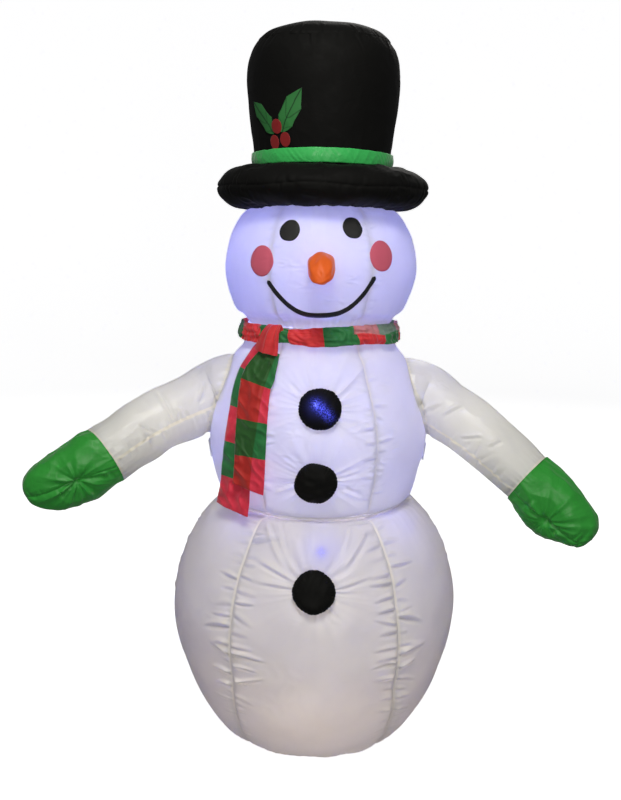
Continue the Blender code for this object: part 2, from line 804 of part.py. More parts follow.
def zip_point(across, lift):
    """(radius, height) of a point beside the zipper's middle line: across is uphill, lift outwards."""
    radius = radius_at(LOWER_OUTLINE, ZIP_Z)
    rise = Vector(
        (radius_at(LOWER_OUTLINE, ZIP_Z + 0.005) - radius_at(LOWER_OUTLINE, ZIP_Z - 0.005), 0.010)
    ).normalized()
    out = Vector((rise.y, -rise.x))
    return Vector((radius, ZIP_Z)) + rise * across + out * lift


def zipper(rear_panel):
    """Tape with its chain of teeth over a slot in the back panel, its slider and its pull."""
    length, height = ZIP_SLOT
    slot_half = length / 2 / radius_at(LOWER_OUTLINE, ZIP_Z)
    box = [
        zip_point(across, lift) for across,
        lift in ((-height / 2, -0.01), (height / 2, -0.01), (height / 2, 0.01), (-height / 2, 0.01))
    ]
    cut(rear_panel, arc_bar("zip_cutter", box, math.pi - slot_half, math.pi + slot_half, 16, "webbing"))

    tape, chain, low, mid, top = ZIP_TAPE_HALF, ZIP_CHAIN_HALF, 0.0012, 0.0022, 0.0042
    outline = [
        (-tape, low), (tape, low), (tape, mid), (chain, mid), (chain, top), (-chain, top),
        (-chain, mid), (-tape, mid)
    ]
    section = [zip_point(across, lift) for across, lift in outline]
    arc_bar("zipper_tape", section, math.pi - ZIP_HALF_ANGLE, math.pi + ZIP_HALF_ANGLE, 14, "zip_tape")

    gap, wall = 0.0004, 0.0014
    side, roof = chain + gap + wall, top + gap + wall
    outline = [
        (-side, mid + gap), (-chain - gap, mid + gap), (-chain - gap, top + gap),
        (chain + gap, top + gap), (chain + gap, mid + gap), (side, mid + gap), (side, roof),
        (-side, roof)
    ]
    section = [zip_point(across, lift) for across, lift in outline]
    start = math.pi - math.radians(13.5)
    half = math.radians(1.25)
    arc_bar("zipper_slider", section, start - half, start + half, 4, "zip_metal")

    frame = frame_on(LOWER_OUTLINE, start, ZIP_Z)
    bm = bmesh.new()
    bmesh.ops.create_cube(bm, size=1.0)
    bmesh.ops.scale(bm, vec=(0.0220, 0.0060, 0.0012), verts=bm.verts)
    bmesh.ops.translate(bm, vec=(0.0100, 0, 0), verts=bm.verts)
    upright = [edge for edge in bm.edges if abs((edge.verts[0].co - edge.verts[1].co).z) > 1e-4]
    bmesh.ops.bevel(bm, geom=upright, offset=0.002, segments=2, affect="EDGES")
    add_bmesh("zipper_pull", bm, "zip_metal", frame @ Matrix.Translation((0, 0, roof + 0.0012)))


# Loops, lamps and wiring --------------------------------------------------------------------------
def webbing_loop(name, place):
    """A flat strap loop with a slot for a rope: it lies in X and Y, and its root is at the origin."""
    bm = bmesh.new()
    outer, inner = (0.0120, 0.0300), (0.0070, 0.0100, 0.0240)
    outside = [(-outer[0], 0), (outer[0], 0), (outer[0], outer[1]), (-outer[0], outer[1])]
    inside = [(-inner[0], inner[1]), (inner[0], inner[1]), (inner[0], inner[2]), (-inner[0], inner[2])]
    rows = [[bm.verts.new((x, y, 0)) for x, y in corners] for corners in (outside, inside)]
    stitched_grid(bm, rows, close=True)
    top = bmesh.ops.extrude_face_region(bm, geom=bm.faces[:])
    raised = [item for item in top["geom"] if isinstance(item, bmesh.types.BMVert)]
    bmesh.ops.translate(bm, verts=raised, vec=(0, 0, 0.0016))
    return add_bmesh(name, bm, "webbing", place)


def loops():
    """Two tether loops that hang flat against the torso's sides, under the arms."""
    for side, sign in (("left", -1), ("right", 1)):
        root = frame_on(TORSO_OUTLINE, sign * math.pi / 2, TETHER_Z, lift=0.0010)
        webbing_loop(f"tether_loop_{side}", root @ Matrix.Rotation(math.pi, 4, "Z"))


def lamps():
    """Clear globes on short sockets, on the lighting cable."""
    for name, middle in LAMPS.items():
        steps = 6
        globe = [
            (LAMP_RADIUS * math.sin(a), LAMP_RADIUS * math.cos(a)) for a in (
                math.radians(152) * i / steps for i in range(steps + 1)
            )
        ]
        globe[0] = (0.0, LAMP_RADIUS)
        low = globe[-1][1]
        section = [*globe, (0.0070, low - 0.0020), (0.0070, low - 0.0120), (0.0, low - 0.0120)]
        turned(name, section, "lamp_clear", segments=12, place=Matrix.Translation(middle))


def lighting_cable():
    """The cable inside, from the fan up past each lamp's socket, tied to ribbons on its way."""
    beside = LAMP_RADIUS + 0.008
    low, chest, head = (Vector(point) for point in LAMPS.values())
    route = [
        Vector((0.030, 0.168, 0.190)),
        Vector((0.028, 0.130, 0.250)),
        low + Vector((beside, 0.020, -0.010)),
        Vector((0.0, 0.0, WAIST_Z)),
        chest + Vector((beside, 0.006, -0.040)),
        chest + Vector((beside, 0.0, 0.010)),
        Vector((0.0, 0.0, NECK_Z)),
        head + Vector((beside + 0.006, 0.0, -0.050)),
        head + Vector((beside, 0.0, 0.0)),
    ]
    curve = bpy.data.curves.new("lighting_cable", "CURVE")
    curve.dimensions = "3D"
    curve.bevel_depth = CABLE_DIAMETER / 2
    curve.bevel_resolution = 2
    curve.use_fill_caps = True
    points = smooth_points(route, CABLE_POINTS)
    spline = curve.splines.new("POLY")
    spline.points.add(len(points) - 1)
    for point, at in zip(spline.points, points):
        point.co = (*at, 1.0)
    curve.materials.append(finish("cable"))
    bpy.context.scene.collection.objects.link(bpy.data.objects.new("lighting_cable", curve))


# Axes ---------------------------------------------------------------------------------------------
def hang_on_axis(name, location, prefixes):
    """An empty on a joint's axis, with the pieces that turn about it as its children."""
    axis = bpy.data.objects.new(name, None)
    axis.location = location
    bpy.context.scene.collection.objects.link(axis)
    bpy.context.view_layer.update()
    for obj in bpy.data.objects:
        if obj.type != "EMPTY" and obj.parent is None and obj.name.startswith(prefixes):
            obj.parent = axis
            obj.matrix_parent_inverse = axis.matrix_world.inverted()
    return axis


def joints():
    """The figure sways at the waist, nods at the neck and flexes at the shoulders; the tails lift."""
    tails = hang_on_axis(
        "scarf_tails_axis", around(SCARF_RADII[1] + KNOT_HALF[1], KNOT_ANGLE, SCARF_Z[1] - 0.016),
        ("scarf_tail",)
    )
    left = hang_on_axis("arm_left_axis", SHOULDERS["left"], ("sleeve_left", "mitten_left"))
    right = hang_on_axis("arm_right_axis", SHOULDERS["right"], ("sleeve_right", "mitten_right"))
    on_head = ("head", "hat", "holly", "eye", "cheek", "mouth", "nose", "led_lamp_head")
    head = hang_on_axis("neck_axis", (0, 0, NECK_Z), on_head)
    on_torso = ("torso", "button_top", "button_middle", "scarf", "tether", "led_lamp_chest")
    torso = hang_on_axis("waist_axis", (0, 0, WAIST_Z), on_torso)
    for upper in (tails, left, right, head):
        upper.parent = torso
        upper.matrix_parent_inverse = torso.matrix_world.inverted()


def build():
    clear_scene()
    base_panel()
    lower = gores("lower", LOWER_OUTLINE, 10)
    gores("torso", TORSO_OUTLINE, 8)
    gores("head", HEAD_OUTLINE, 8)
    sewn_band("waist_band", LOWER_OUTLINE, TORSO_OUTLINE)
    sewn_band("neck_band", TORSO_OUTLINE, HEAD_OUTLINE)
    hat()
    holly()
    face()
    nose()
    buttons()
    arm("left", ARM_LEFT)
    arm("right", ARM_RIGHT)
    scarf()
    rear_panel = lower[GORES // 2]
    fan(rear_panel)
    zipper(rear_panel)
    loops()
    lamps()
    lighting_cable()
    joints()


build()
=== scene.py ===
"""The inflatable snowman's looks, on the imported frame: cloth shells with seams, gathers and creases."""

import json
import math

import bmesh
import bpy
import numpy as np
from mathutils import Matrix, Vector
from mathutils.bvhtree import BVHTree


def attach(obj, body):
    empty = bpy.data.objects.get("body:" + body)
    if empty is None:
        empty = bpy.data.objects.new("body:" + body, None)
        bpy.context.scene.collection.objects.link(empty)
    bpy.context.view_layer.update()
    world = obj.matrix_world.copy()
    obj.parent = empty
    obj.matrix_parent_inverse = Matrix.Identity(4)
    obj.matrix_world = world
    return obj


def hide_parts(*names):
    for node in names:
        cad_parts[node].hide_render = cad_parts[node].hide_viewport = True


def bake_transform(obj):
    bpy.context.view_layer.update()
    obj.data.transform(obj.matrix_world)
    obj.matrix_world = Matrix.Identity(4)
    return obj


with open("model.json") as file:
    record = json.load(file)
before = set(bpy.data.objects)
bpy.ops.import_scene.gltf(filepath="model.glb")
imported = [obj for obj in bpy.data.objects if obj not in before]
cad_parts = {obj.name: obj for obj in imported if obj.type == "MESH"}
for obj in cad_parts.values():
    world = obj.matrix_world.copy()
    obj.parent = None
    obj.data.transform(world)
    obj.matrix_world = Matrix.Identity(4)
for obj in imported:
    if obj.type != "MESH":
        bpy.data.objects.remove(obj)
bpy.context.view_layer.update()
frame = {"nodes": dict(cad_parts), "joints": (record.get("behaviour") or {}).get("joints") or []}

TAU = 2 * math.pi

# Outlines as (radius, height), read through smooth curves like the CAD panels.
BASE_RADIUS = 0.098
LOWER = [
    (0.0985, 0.0012), (0.160, 0.025), (0.2165, 0.117), (0.2465, 0.240), (0.2275, 0.348), (0.180, 0.4215),
    (0.1495, 0.4315)
]
TORSO = [
    (0.1480, 0.4315), (0.1680, 0.4500), (0.1870, 0.540), (0.1755, 0.606), (0.1480, 0.672), (0.1300, 0.697),
    (0.1240, 0.732)
]
HEAD = [
    (0.1180, 0.7300), (0.1300, 0.7440), (0.1460, 0.7600), (0.1625, 0.8180), (0.1560, 0.8710),
    (0.1365, 0.9110), (0.1120, 0.9340), (0.1060, 0.9440)
]
CROWN = [
    (0.1110, 0.9780), (0.1165, 1.0290), (0.1232, 1.0810), (0.1268, 1.1320), (0.1215, 1.1690),
    (0.1085, 1.1930)
]
CROWN_TOP = [(0.1095, 1.1905), (0.1050, 1.1965), (0.0880, 1.2085), (0.0500, 1.2190), (0.0, 1.2215)]
BRIM_CENTRE, BRIM_HALF = (0.1240, 0.9590), (0.0525, 0.0350)
GORES = 6

WAIST = (0.0, 0.0, 0.432)
WAIST_TOP = (0, 0, 0.462)
ZIP_Z = 0.345
BUTTONS = {
    "button_top": (0.0022, 0.610), "button_middle": (-0.0021, 0.4925), "button_bottom": (-0.0025, 0.331)
}


# Camera ----------------------------------------------------------------------
def add_object(name, data):
    """A new object in the scene that shows the given data."""
    obj = bpy.data.objects.new(name, data)
    bpy.context.scene.collection.objects.link(obj)
    return obj


def make_camera():
    data = bpy.data.cameras.new("camera")
    data.sensor_width = 36.0
    data.lens = 51.75
    obj = add_object("camera", data)
    turn = Matrix.Rotation(math.radians(90 - 8.65), 4, "X") @ Matrix.Rotation(math.radians(1.0), 4, "Z")
    obj.matrix_world = Matrix.Translation((-0.0129, -1.9566, 0.8957)) @ turn
    bpy.context.scene.camera = obj
    bpy.context.scene.view_settings.view_transform = "Standard"


make_camera()


# Numbers ---------------------------------------------------------------------
def smooth_curve(points, count):
    """count + 1 points on a Catmull-Rom curve through the given ones, as an array."""
    knots = np.array(points, dtype=float)
    knots = np.vstack([2 * knots[0] - knots[1], knots, 2 * knots[-1] - knots[-2]])
    spans = len(points) - 1
    place = spans * np.arange(count + 1) / count
    span = np.minimum(place.astype(int), spans - 1)
    t = (place - span)[:, None]
    a, b, c, d = knots[span], knots[span + 1], knots[span + 2], knots[span + 3]
    return 0.5 * (2 * b + (c - a) * t + (2 * a - 5 * b + 4 * c - d) * t**2 + (3 * b - a - 3 * c + d) * t**3)


def smoothstep(low, high, value):
    share = np.clip((value - low) / (high - low), 0.0, 1.0)
    return share * share * (3 - 2 * share)


def plane_noise(x, y, seed, shortest, longest, count=14):
    """Smooth random heights between about -1 and 1 over x and y in metres, with waves between two lengths."""
    rng = np.random.default_rng(seed)
    total = np.zeros(np.broadcast(x, y).shape)
    for _ in range(count):
        length = shortest * (longest / shortest) ** rng.random()
        turn, phase = TAU * rng.random(2)
        total += np.sin(TAU * (x * math.cos(turn) + y * math.sin(turn)) / length + phase)
    return total / math.sqrt(count)


def ring_noise(angle, seed, fewest, most, count=10):
    """Smooth random heights between about -1 and 1 round a ring."""
    rng = np.random.default_rng(seed)
    total = np.zeros(np.shape(angle))
    for _ in range(count):
        total += np.sin(rng.integers(fewest, most + 1) * angle + TAU * rng.random())
    return total / math.sqrt(count)


def creased(value):
    """Turns smooth noise into round swells with sharp valleys between them."""
    return 0.55 - (value * value + 0.004) ** 0.375


def gathers(angle, distance, seed, folds, amplitude, reach):
    """Folds that run away from a gathered seam: many short ones and fewer long ones."""
    many = creased(ring_noise(angle, seed, folds, folds * 2)) * np.exp(-distance / (0.35 * reach))
    few = creased(ring_noise(angle, seed + 1, folds // 3, folds)) * np.exp(-distance / reach)
    return -amplitude * (
        0.6 * (0.55 - many) + 0.9 * (0.55 * np.exp(-distance / reach) - few)
    ) * smoothstep(0, 0.002, distance + 0.001)


# Meshes ----------------------------------------------------------------------
def lathed(radius, angle, height):
    """Points round the figure's axis. Angle 0 faces the camera."""
    return np.stack([radius * np.sin(angle), -radius * np.cos(angle), height], axis=-1)


def around(count, rows):
    """Two grids: the angles of one full turn across, and the given values down."""
    return np.meshgrid(np.linspace(0, TAU, count + 1)[:-1], rows)


def pair(u, v):
    """Two grids of numbers as one grid of pairs."""
    return np.stack([u, v], axis=-1)


def grid_quads(rows, columns, close=False):
    """The four corners of each face of a grid, joined round where it is closed."""
    index = np.arange(rows * columns).reshape(rows, columns)
    if close:
        index = np.hstack([index, index[:, :1]])
    corners = [index[:-1, :-1], index[:-1, 1:], index[1:, 1:], index[1:, :-1]]
    return np.stack(corners, axis=-1).reshape(-1, 4)


def grid_object(name, points, close=False, uv=None, marks=None, keep=None):
    """A mesh from rows x columns x 3 points.

    uv is rows x columns x 2 in metres, marks are named numbers per point, and keep picks faces by middle.
    """
    rows, columns = points.shape[:2]
    flat = points.reshape(-1, 3)
    quads = grid_quads(rows, columns, close)
    kept = slice(None) if keep is None else keep(flat[quads].mean(axis=1))
    mesh = bpy.data.meshes.new(name)
    mesh.from_pydata(flat.tolist(), [], quads[kept].tolist())
    mesh.shade_smooth()
    obj = add_object(name, mesh)
    if uv is not None:
        if close:
            uv = np.concatenate([uv, uv[:, :1] + [[[uv_turn(uv), 0.0]]]], axis=1)
        corners = grid_quads(rows, uv.shape[1])[kept].reshape(-1)
        mesh.uv_layers.new(name="cloth").data.foreach_set(
            "uv", uv.reshape(-1, 2)[corners].astype(np.float32).ravel()
        )
    for mark, values in (marks or {}).items():
        attribute = mesh.attributes.new(mark, "FLOAT", "POINT")
        attribute.data.foreach_set("value", values.astype(np.float32).ravel())
    for row in (points[0], points[-1]):
        if np.ptp(row, axis=0).max() < 1e-6:
            close_pole(obj, row[0])
    return obj


def close_pole(obj, place):
    """Joins the points that lie together at a pole."""
    bm = bmesh.new()
    bm.from_mesh(obj.data)
    near = [vertex for vertex in bm.verts if (vertex.co - Vector(place)).length < 1e-5]
    bmesh.ops.remove_doubles(bm, verts=near, dist=1e-4)
    bm.to_mesh(obj.data)
    bm.free()


def uv_turn(uv):
    """How far u grows over one full turn: the last step repeated once more."""
    return float(uv[0, -1, 0] - uv[0, 0, 0] + (uv[0, -1, 0] - uv[0, -2, 0]))


def thicken(obj, thickness, offset=1.0):
    made = obj.modifiers.new("thickness", "SOLIDIFY")
    made.thickness = thickness
    made.offset = offset
    made.use_even_offset = False


def ball_tree(obj):
    """A search tree over an object's mesh, to lay other pieces on it."""
    mesh = obj.data
    return BVHTree.FromPolygons(
        [vertex.co[:] for vertex in mesh.vertices], [polygon.vertices[:] for polygon in mesh.polygons]
    )


def lay_on(tree, point, lift):
    """The point moved level towards or away from the figure's axis until it lies lift above the surface."""
    start = Vector(point)
    out = Vector((start.x, start.y, 0)).normalized()
    hit, normal, _, _ = tree.ray_cast(start + out * 0.08, -out)
    if hit is None:
        return start
    if normal.dot(out) < 0:
        normal = -normal
    return hit + normal * lift


# Materials -------------------------------------------------------------------
class Nodes:
    """Short names for building one material's node tree."""

    def __init__(self, name):
        self.material = bpy.data.materials.new(name)
        self.material.use_nodes = True
        self.tree = self.material.node_tree
        self.shader = self.tree.nodes["Principled BSDF"]
        self.output = self.tree.nodes["Material Output"]

    def add(self, kind, **values):
        node = self.tree.nodes.new(kind)
        for key, value in values.items():
            if hasattr(node, key):
                setattr(node, key, value)
            else:
                node.inputs[key.replace("_", " ")].default_value = value
        return node

    def link(self, out, into):
        self.tree.links.new(out, into)

    def noise(self, vector, scale, detail=4.0, roughness=0.55, distortion=0.0, ridged=False):
        node = self.add("ShaderNodeTexNoise")
        if ridged:
            node.noise_type = "RIDGED_MULTIFRACTAL"
        node.inputs["Scale"].default_value = scale
        node.inputs["Detail"].default_value = detail
        node.inputs["Roughness"].default_value = roughness
        node.inputs["Distortion"].default_value = distortion
        if vector is not None:
            self.link(vector, node.inputs["Vector"])
        return node.outputs["Fac"]

    def math(self, operation, a, b=None):
        node = self.add("ShaderNodeMath", operation=operation)
        for socket, value in zip(node.inputs, (a, b)):
            if value is None:
                continue
            if isinstance(value, (int, float)):
                socket.default_value = value
            else:
                self.link(value, socket)
        return node.outputs[0]

    def ramp(self, value, low, high, start=0.0, end=1.0):
        node = self.add("ShaderNodeMapRange", clamp=True)
        self.link(value, node.inputs["Value"])
        for socket, number in zip(("From Min", "From Max", "To Min", "To Max"), (low, high, start, end)):
            node.inputs[socket].default_value = number
        return node.outputs["Result"]

    def mix(self, factor, a, b):
        node = self.add("ShaderNodeMix", data_type="RGBA")
        for place, value in ((0, factor), (6, a), (7, b)):
            socket = node.inputs[place]
            if isinstance(value, (int, float)):
                socket.default_value = value
            elif isinstance(value, (tuple, list)):
                socket.default_value = (*value, 1.0)
            else:
                self.link(value, socket)
        return node.outputs[2]

    def bump(self, height, distance, strength=1.0, after=None):
        node = self.add("ShaderNodeBump")
        node.inputs["Strength"].default_value = strength
        node.inputs["Distance"].default_value = distance
        self.link(height, node.inputs["Height"])
        if after is not None:
            self.link(after, node.inputs["Normal"])
        return node.outputs["Normal"]

    def coordinates(self):
        return self.add("ShaderNodeTexCoord").outputs["Object"]

    def attribute(self, name):
        return self.add("ShaderNodeAttribute", attribute_name=name).outputs["Fac"]

    def separate(self, vector):
        node = self.add("ShaderNodeSeparateXYZ")
        self.link(vector, node.inputs[0])
        return node.outputs

    def vector(self, operation, a, b=None):
        node = self.add("ShaderNodeVectorMath", operation=operation)
        for socket, value in zip(node.inputs, (a, b)):
            if isinstance(value, tuple):
                socket.default_value = value
            elif value is not None:
                self.link(value, socket)
        return node

    def surface(self, **values):
        """Sets or links inputs of the main shader, with _ for a space in their names."""
        for key, value in values.items():
            socket = self.shader.inputs[key.replace("_", " ")]
            if isinstance(value, bpy.types.NodeSocket):
                self.link(value, socket)
            else:
                socket.default_value = value

    def shine_through(self, share, colour, normal=None):
        """Mixes in light that comes through the cloth from behind."""
        back = self.add("ShaderNodeBsdfTranslucent")
        self.link(colour, back.inputs["Color"])
        if normal is not None:
            self.link(normal, back.inputs["Normal"])
        both = self.add("ShaderNodeMixShader")
        both.inputs[0].default_value = share
        self.link(self.shader.outputs[0], both.inputs[1])
        self.link(back.outputs[0], both.inputs[2])
        self.link(both.outputs[0], self.output.inputs["Surface"])


SHEEN_ROUGHNESS = 0.4
THICK_SHADE = (0.10, 0.09, 0.09)  # light through several layers
# Base colour painted under a lamp's painted glow: a darker blue.
PAINTED_GLOW_TINT = (0.36, 0.36, 0.80)


def weave_height(made, threads=1400.0):
    """Plain weave from the cloth's own flat layout: crossing threads, in metres of u and v."""
    flat = made.add("ShaderNodeUVMap", uv_map="cloth").outputs[0]
    u, v, _ = made.separate(flat)
    wave_u = made.math("SINE", made.math("MULTIPLY", u, threads * TAU))
    wave_v = made.math("SINE", made.math("MULTIPLY", v, threads * TAU))
    patchy = made.noise(flat, 260.0, detail=1.0)
    return made.math("MULTIPLY", made.math("MULTIPLY", wave_u, wave_v), patchy)


def cloth(name, colour, through=0.0, roughness=0.5, sheen=0.3, crinkle=0.0006, crinkle_scale=26.0,
          weave=True, seam=None, specular=0.45, kinks=True, spots=()):
    """Thin coated polyester: a slight satin gloss, fine creases, a weave, and light that comes through it."""
    made = Nodes(name)
    where = made.coordinates()
    tone = made.noise(where, 9.0, detail=3.0)
    darker = tuple(channel * 0.93 for channel in colour)
    shade = made.mix(made.ramp(tone, 0.35, 0.65), darker, colour)
    if seam is not None:
        # Painted shade: the base colour turns darker and bluer in the puckers' valleys, where shadows would
        # fall.
        crease_shade_colour = tuple(channel * level for channel, level in zip(colour, (0.62, 0.63, 0.70)))
        shade = made.mix(made.math("MULTIPLY", made.attribute("painted_crease_shade"), 0.75), shade, crease_shade_colour)
        shade = made.mix(made.attribute("seam"), shade, seam)
    # Painted lamp glows, and the darker blue painted into the base colour under them.
    if spots:
        shade = paint_lamp_glows(made, where, spots, shade)
    rough = made.ramp(made.noise(where, 40.0, detail=2.0), 0.3, 0.7, roughness - 0.06, roughness + 0.06)
    made.surface(Base_Color=shade, Roughness=rough, Sheen_Weight=sheen, Sheen_Roughness=SHEEN_ROUGHNESS)
    made.surface(Specular_IOR_Level=specular)
    swell = made.noise(where, crinkle_scale, detail=3.0, roughness=0.45, distortion=0.8)
    height = made.math("ABSOLUTE", made.math("SUBTRACT", swell, 0.5)) if kinks else swell
    normal = made.bump(height, crinkle * 4, 0.6)
    if weave:
        normal = made.bump(weave_height(made), 0.00002, 0.4, normal)
    made.surface(Normal=normal)
    if through > 0:
        inner = shade if seam is None else made.mix(made.attribute("thick"), shade, THICK_SHADE)
        made.shine_through(through, inner, normal)
    return made.material


def paint_lamp_glows(made, where, spots, shade):
    """Painted glows, as emission in the cloth, round lamps close behind it, with the base colour painted
    darker and bluer under them: (centre, reach, colour, strength, tint) each.
    """
    total = None
    # Fine noise that breaks the smaller painted glows into speckles.
    grain = made.ramp(made.noise(where, 520.0, detail=2.0), 0.44, 0.60, 0.15, 1.8)
    for centre, reach, colour, strength, tint in spots:
        apart = made.vector("DISTANCE", where, centre).outputs["Value"]
        share = made.math("DIVIDE", apart, reach)
        fall = made.math("EXPONENT", made.math("MULTIPLY", made.math("MULTIPLY", share, share), -1.0))
        if tint > 0:
            shade = made.mix(made.math("MULTIPLY", fall, tint), shade, PAINTED_GLOW_TINT)
        if reach < 0.012:
            fall = made.math("MULTIPLY", fall, grain)
        one = made.vector("SCALE", tuple(channel * strength for channel in colour))
        made.link(fall, one.inputs["Scale"])
        total = one.outputs[0] if total is None else made.vector("ADD", total, one.outputs[0]).outputs[0]
    made.surface(Emission_Color=total, Emission_Strength=1.0)
    return shade


def plain(name, colour, roughness=0.5, metallic=0.0, grain=0.0002, emission=None, strength=0.0):
    """Moulded plastic or metal with a little grain."""
    made = Nodes(name)
    where = made.coordinates()
    tone = made.ramp(made.noise(where, 30.0), 0.35, 0.65)
    shade = made.mix(tone, tuple(channel * 0.85 for channel in colour), colour)
    rough = made.ramp(made.noise(where, 70.0), 0.3, 0.7, roughness - 0.07, roughness + 0.07)
    normal = made.bump(made.noise(where, 900.0, detail=2.0), grain, 0.4)
    made.surface(Base_Color=shade, Roughness=rough, Metallic=metallic, Normal=normal)
    if emission is not None:
        made.surface(Emission_Color=(*emission, 1.0), Emission_Strength=strength)
    return made.material


def dress(obj, material):
    obj.data.materials.clear()
    obj.data.materials.append(material)
    return obj


def finish_piece(obj, material, slot, *nodes, body=None, bend=None, fill=None):
    """Dresses a piece, ties it to its body, bakes its place when a bend is given, and hides the CAD parts it
    stands for.

    bend is (lower body, upper body, where the bend starts, where it ends).
    """
    dress(obj, material)
    if body is not None:
        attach(obj, body)
    if bend is not None:
        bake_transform(obj)
    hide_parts(*nodes)
    return obj


def panels(ball):
    return [f"{ball}_panel_{i + 1}" for i in range(GORES)]


def dress_node(node, material):
    """A kept CAD node's material."""
    obj = frame["nodes"][node]
    if obj.material_slots:
        for held in obj.material_slots:
            held.material = material
    else:
        obj.data.materials.append(material)


CREAM = (0.86, 0.83, 0.74)
WHITE = (0.76, 0.75, 0.73)
# Painted light: the lower lamp's glow, painted on the lower ball's cloth as a white core and blue halo.
LAMP_SPOT = (0.0085, -0.2055, 0.3885)
LAMP_HALO = (
    (LAMP_SPOT, 0.0020, (0.7, 0.75, 1.0), 0.55, 0.0),
    (LAMP_SPOT, 0.0085, (0.05, 0.06, 1.0), 0.16, 0.65),
    (LAMP_SPOT, 0.034, (0.10, 0.11, 1.0), 0.10, 0.30),
)
# The same white polyester in three copies: the sleeves' copy has a brighter base colour as painted light,
# where the lamps leave the sleeves dim, and the lower ball's copy has a warmer base colour, painting in the
# warm light low on it.
white_lower = cloth(
    "white_cloth_lower", WHITE, through=0.14, roughness=0.38, sheen=0.0, crinkle=0.0003, crinkle_scale=14.0,
    specular=0.36, kinks=False, seam=CREAM, spots=LAMP_HALO
)
white_upper = cloth(
    "white_cloth_upper", (0.79, 0.79, 0.79), through=0.22, roughness=0.46, sheen=0.12, crinkle=0.0004,
    specular=0.20, kinks=False, seam=CREAM
)
white_sleeve = cloth(
    "white_cloth_sleeve", (0.88, 0.87, 0.83), through=0.22, roughness=0.34, crinkle=0.0008,
    seam=(0.97, 0.93, 0.80)
)
seam_white = cloth("white_cloth_seam", (0.90, 0.89, 0.88), roughness=0.5)
black = cloth("black_cloth", (0.0050, 0.0050, 0.0044), roughness=0.72, sheen=0.015, specular=0.12)
mitten_green = cloth(
    "mitten_cloth", (0.036, 0.375, 0.044), through=0.10, roughness=0.45, sheen=0.25, crinkle=0.0008
)
band_green = cloth(
    "band_cloth", (0.055, 0.580, 0.125), roughness=0.38, sheen=0.3, crinkle=0.0010, crinkle_scale=40.0
)
orange = cloth("nose_cloth", (1.0, 0.215, 0.030), through=0.30, roughness=0.45, sheen=0.3)
print_black = cloth("face_print", (0.012, 0.012, 0.012), roughness=0.6, sheen=0.1, weave=False)
cheek_pink = cloth("cheek_print", (0.76, 0.140, 0.215), roughness=0.55, sheen=0.2, weave=False)
berry_red = cloth("berry_print", (0.30, 0.016, 0.016), roughness=0.6, sheen=0.1, weave=False)
fan_plastic = plain("fan_plastic", (0.018, 0.018, 0.020), roughness=0.42)
fan_metal = plain("fan_metal", (0.55, 0.55, 0.57), roughness=0.33, metallic=1.0)
zip_metal = plain("zip_metal", (0.58, 0.58, 0.60), roughness=0.30, metallic=1.0)
webbing = plain("webbing", (0.86, 0.86, 0.88), roughness=0.8, grain=0.0005)
cable_plastic = plain("cable_plastic", (0.82, 0.82, 0.82), roughness=0.45)
lamp_glow = plain("lamp_globe", (0.8, 0.85, 1.0), roughness=0.15, emission=(0.5, 0.55, 1.0), strength=12.0)


# The three balls -------------------------------------------------------------
def outline_of(points, rows):
    """Evenly spaced points of a smooth outline: radius, height, the way along it and the outward normal."""
    curve = smooth_curve(points, 600)
    way = np.concatenate([[0.0], np.cumsum(np.hypot(*np.diff(curve, axis=0).T))])
    even = np.linspace(0, way[-1], rows + 1)
    radius, height = np.interp(even, way, curve[:, 0]), np.interp(even, way, curve[:, 1])
    along_r, along_z = np.gradient(radius), np.gradient(height)
    size = np.hypot(along_r, along_z)
    return radius, height, even, pair(along_z / size, -along_r / size)


def turned_points(radius, height, normal, angle, relief):
    """An outline turned round the figure's axis and moved out by relief, square to it."""
    return lathed(radius[:, None] + normal[:, :1] * relief, angle, height[:, None] + normal[:, 1:] * relief)


def radius_at(outline, height):
    """An outline's radius at a height, or at each of many."""
    curve = smooth_curve(outline, 600)
    return np.interp(height, curve[:, 1], curve[:, 0])


HALF_COLUMNS = 40  # columns of points from the middle of a panel to its seam


class Ball:
    """A sewn ball: its outline, with the way along it in metres, and its panels' columns of points."""

    def __init__(self, outline, rows, widen=((0.0, 0.0), (1.0, 0.0))):
        self.radius, self.height, self.way, self.normal = outline_of(outline, rows)
        self.length = self.way[-1]
        near = 1 - np.arange(HALF_COLUMNS + 1) / HALF_COLUMNS
        share = 1 - near**1.3
        # From seam to seam, with the last seam left to the next panel.
        one = np.concatenate([-share[::-1][:-1], share[:-1]])
        half = math.pi / GORES
        self.cut_angle = np.concatenate([math.radians(60 * i) + one * half for i in range(GORES)])
        self.seams = [math.radians(60 * i) - half for i in range(GORES)]
        self.widen = np.radians(np.interp(self.height, *zip(*widen)))

    def way_at(self, height):
        return float(np.interp(height, self.height, self.way))

    def grid(self):
        """The cut's angle, the real angle and the way along the outline for each point of the mesh."""
        cut, way = np.meshgrid(self.cut_angle, self.way)
        return cut, cut + self.widen[:, None] * np.sin(cut) * (1 + np.cos(cut)), way

    def points(self, relief):
        """Points moved out by relief, square to the plain surface."""
        return turned_points(self.radius, self.height, self.normal, self.grid()[1], relief)


def arc_apart(angle, middle):
    return (angle - middle + math.pi) % TAU - math.pi


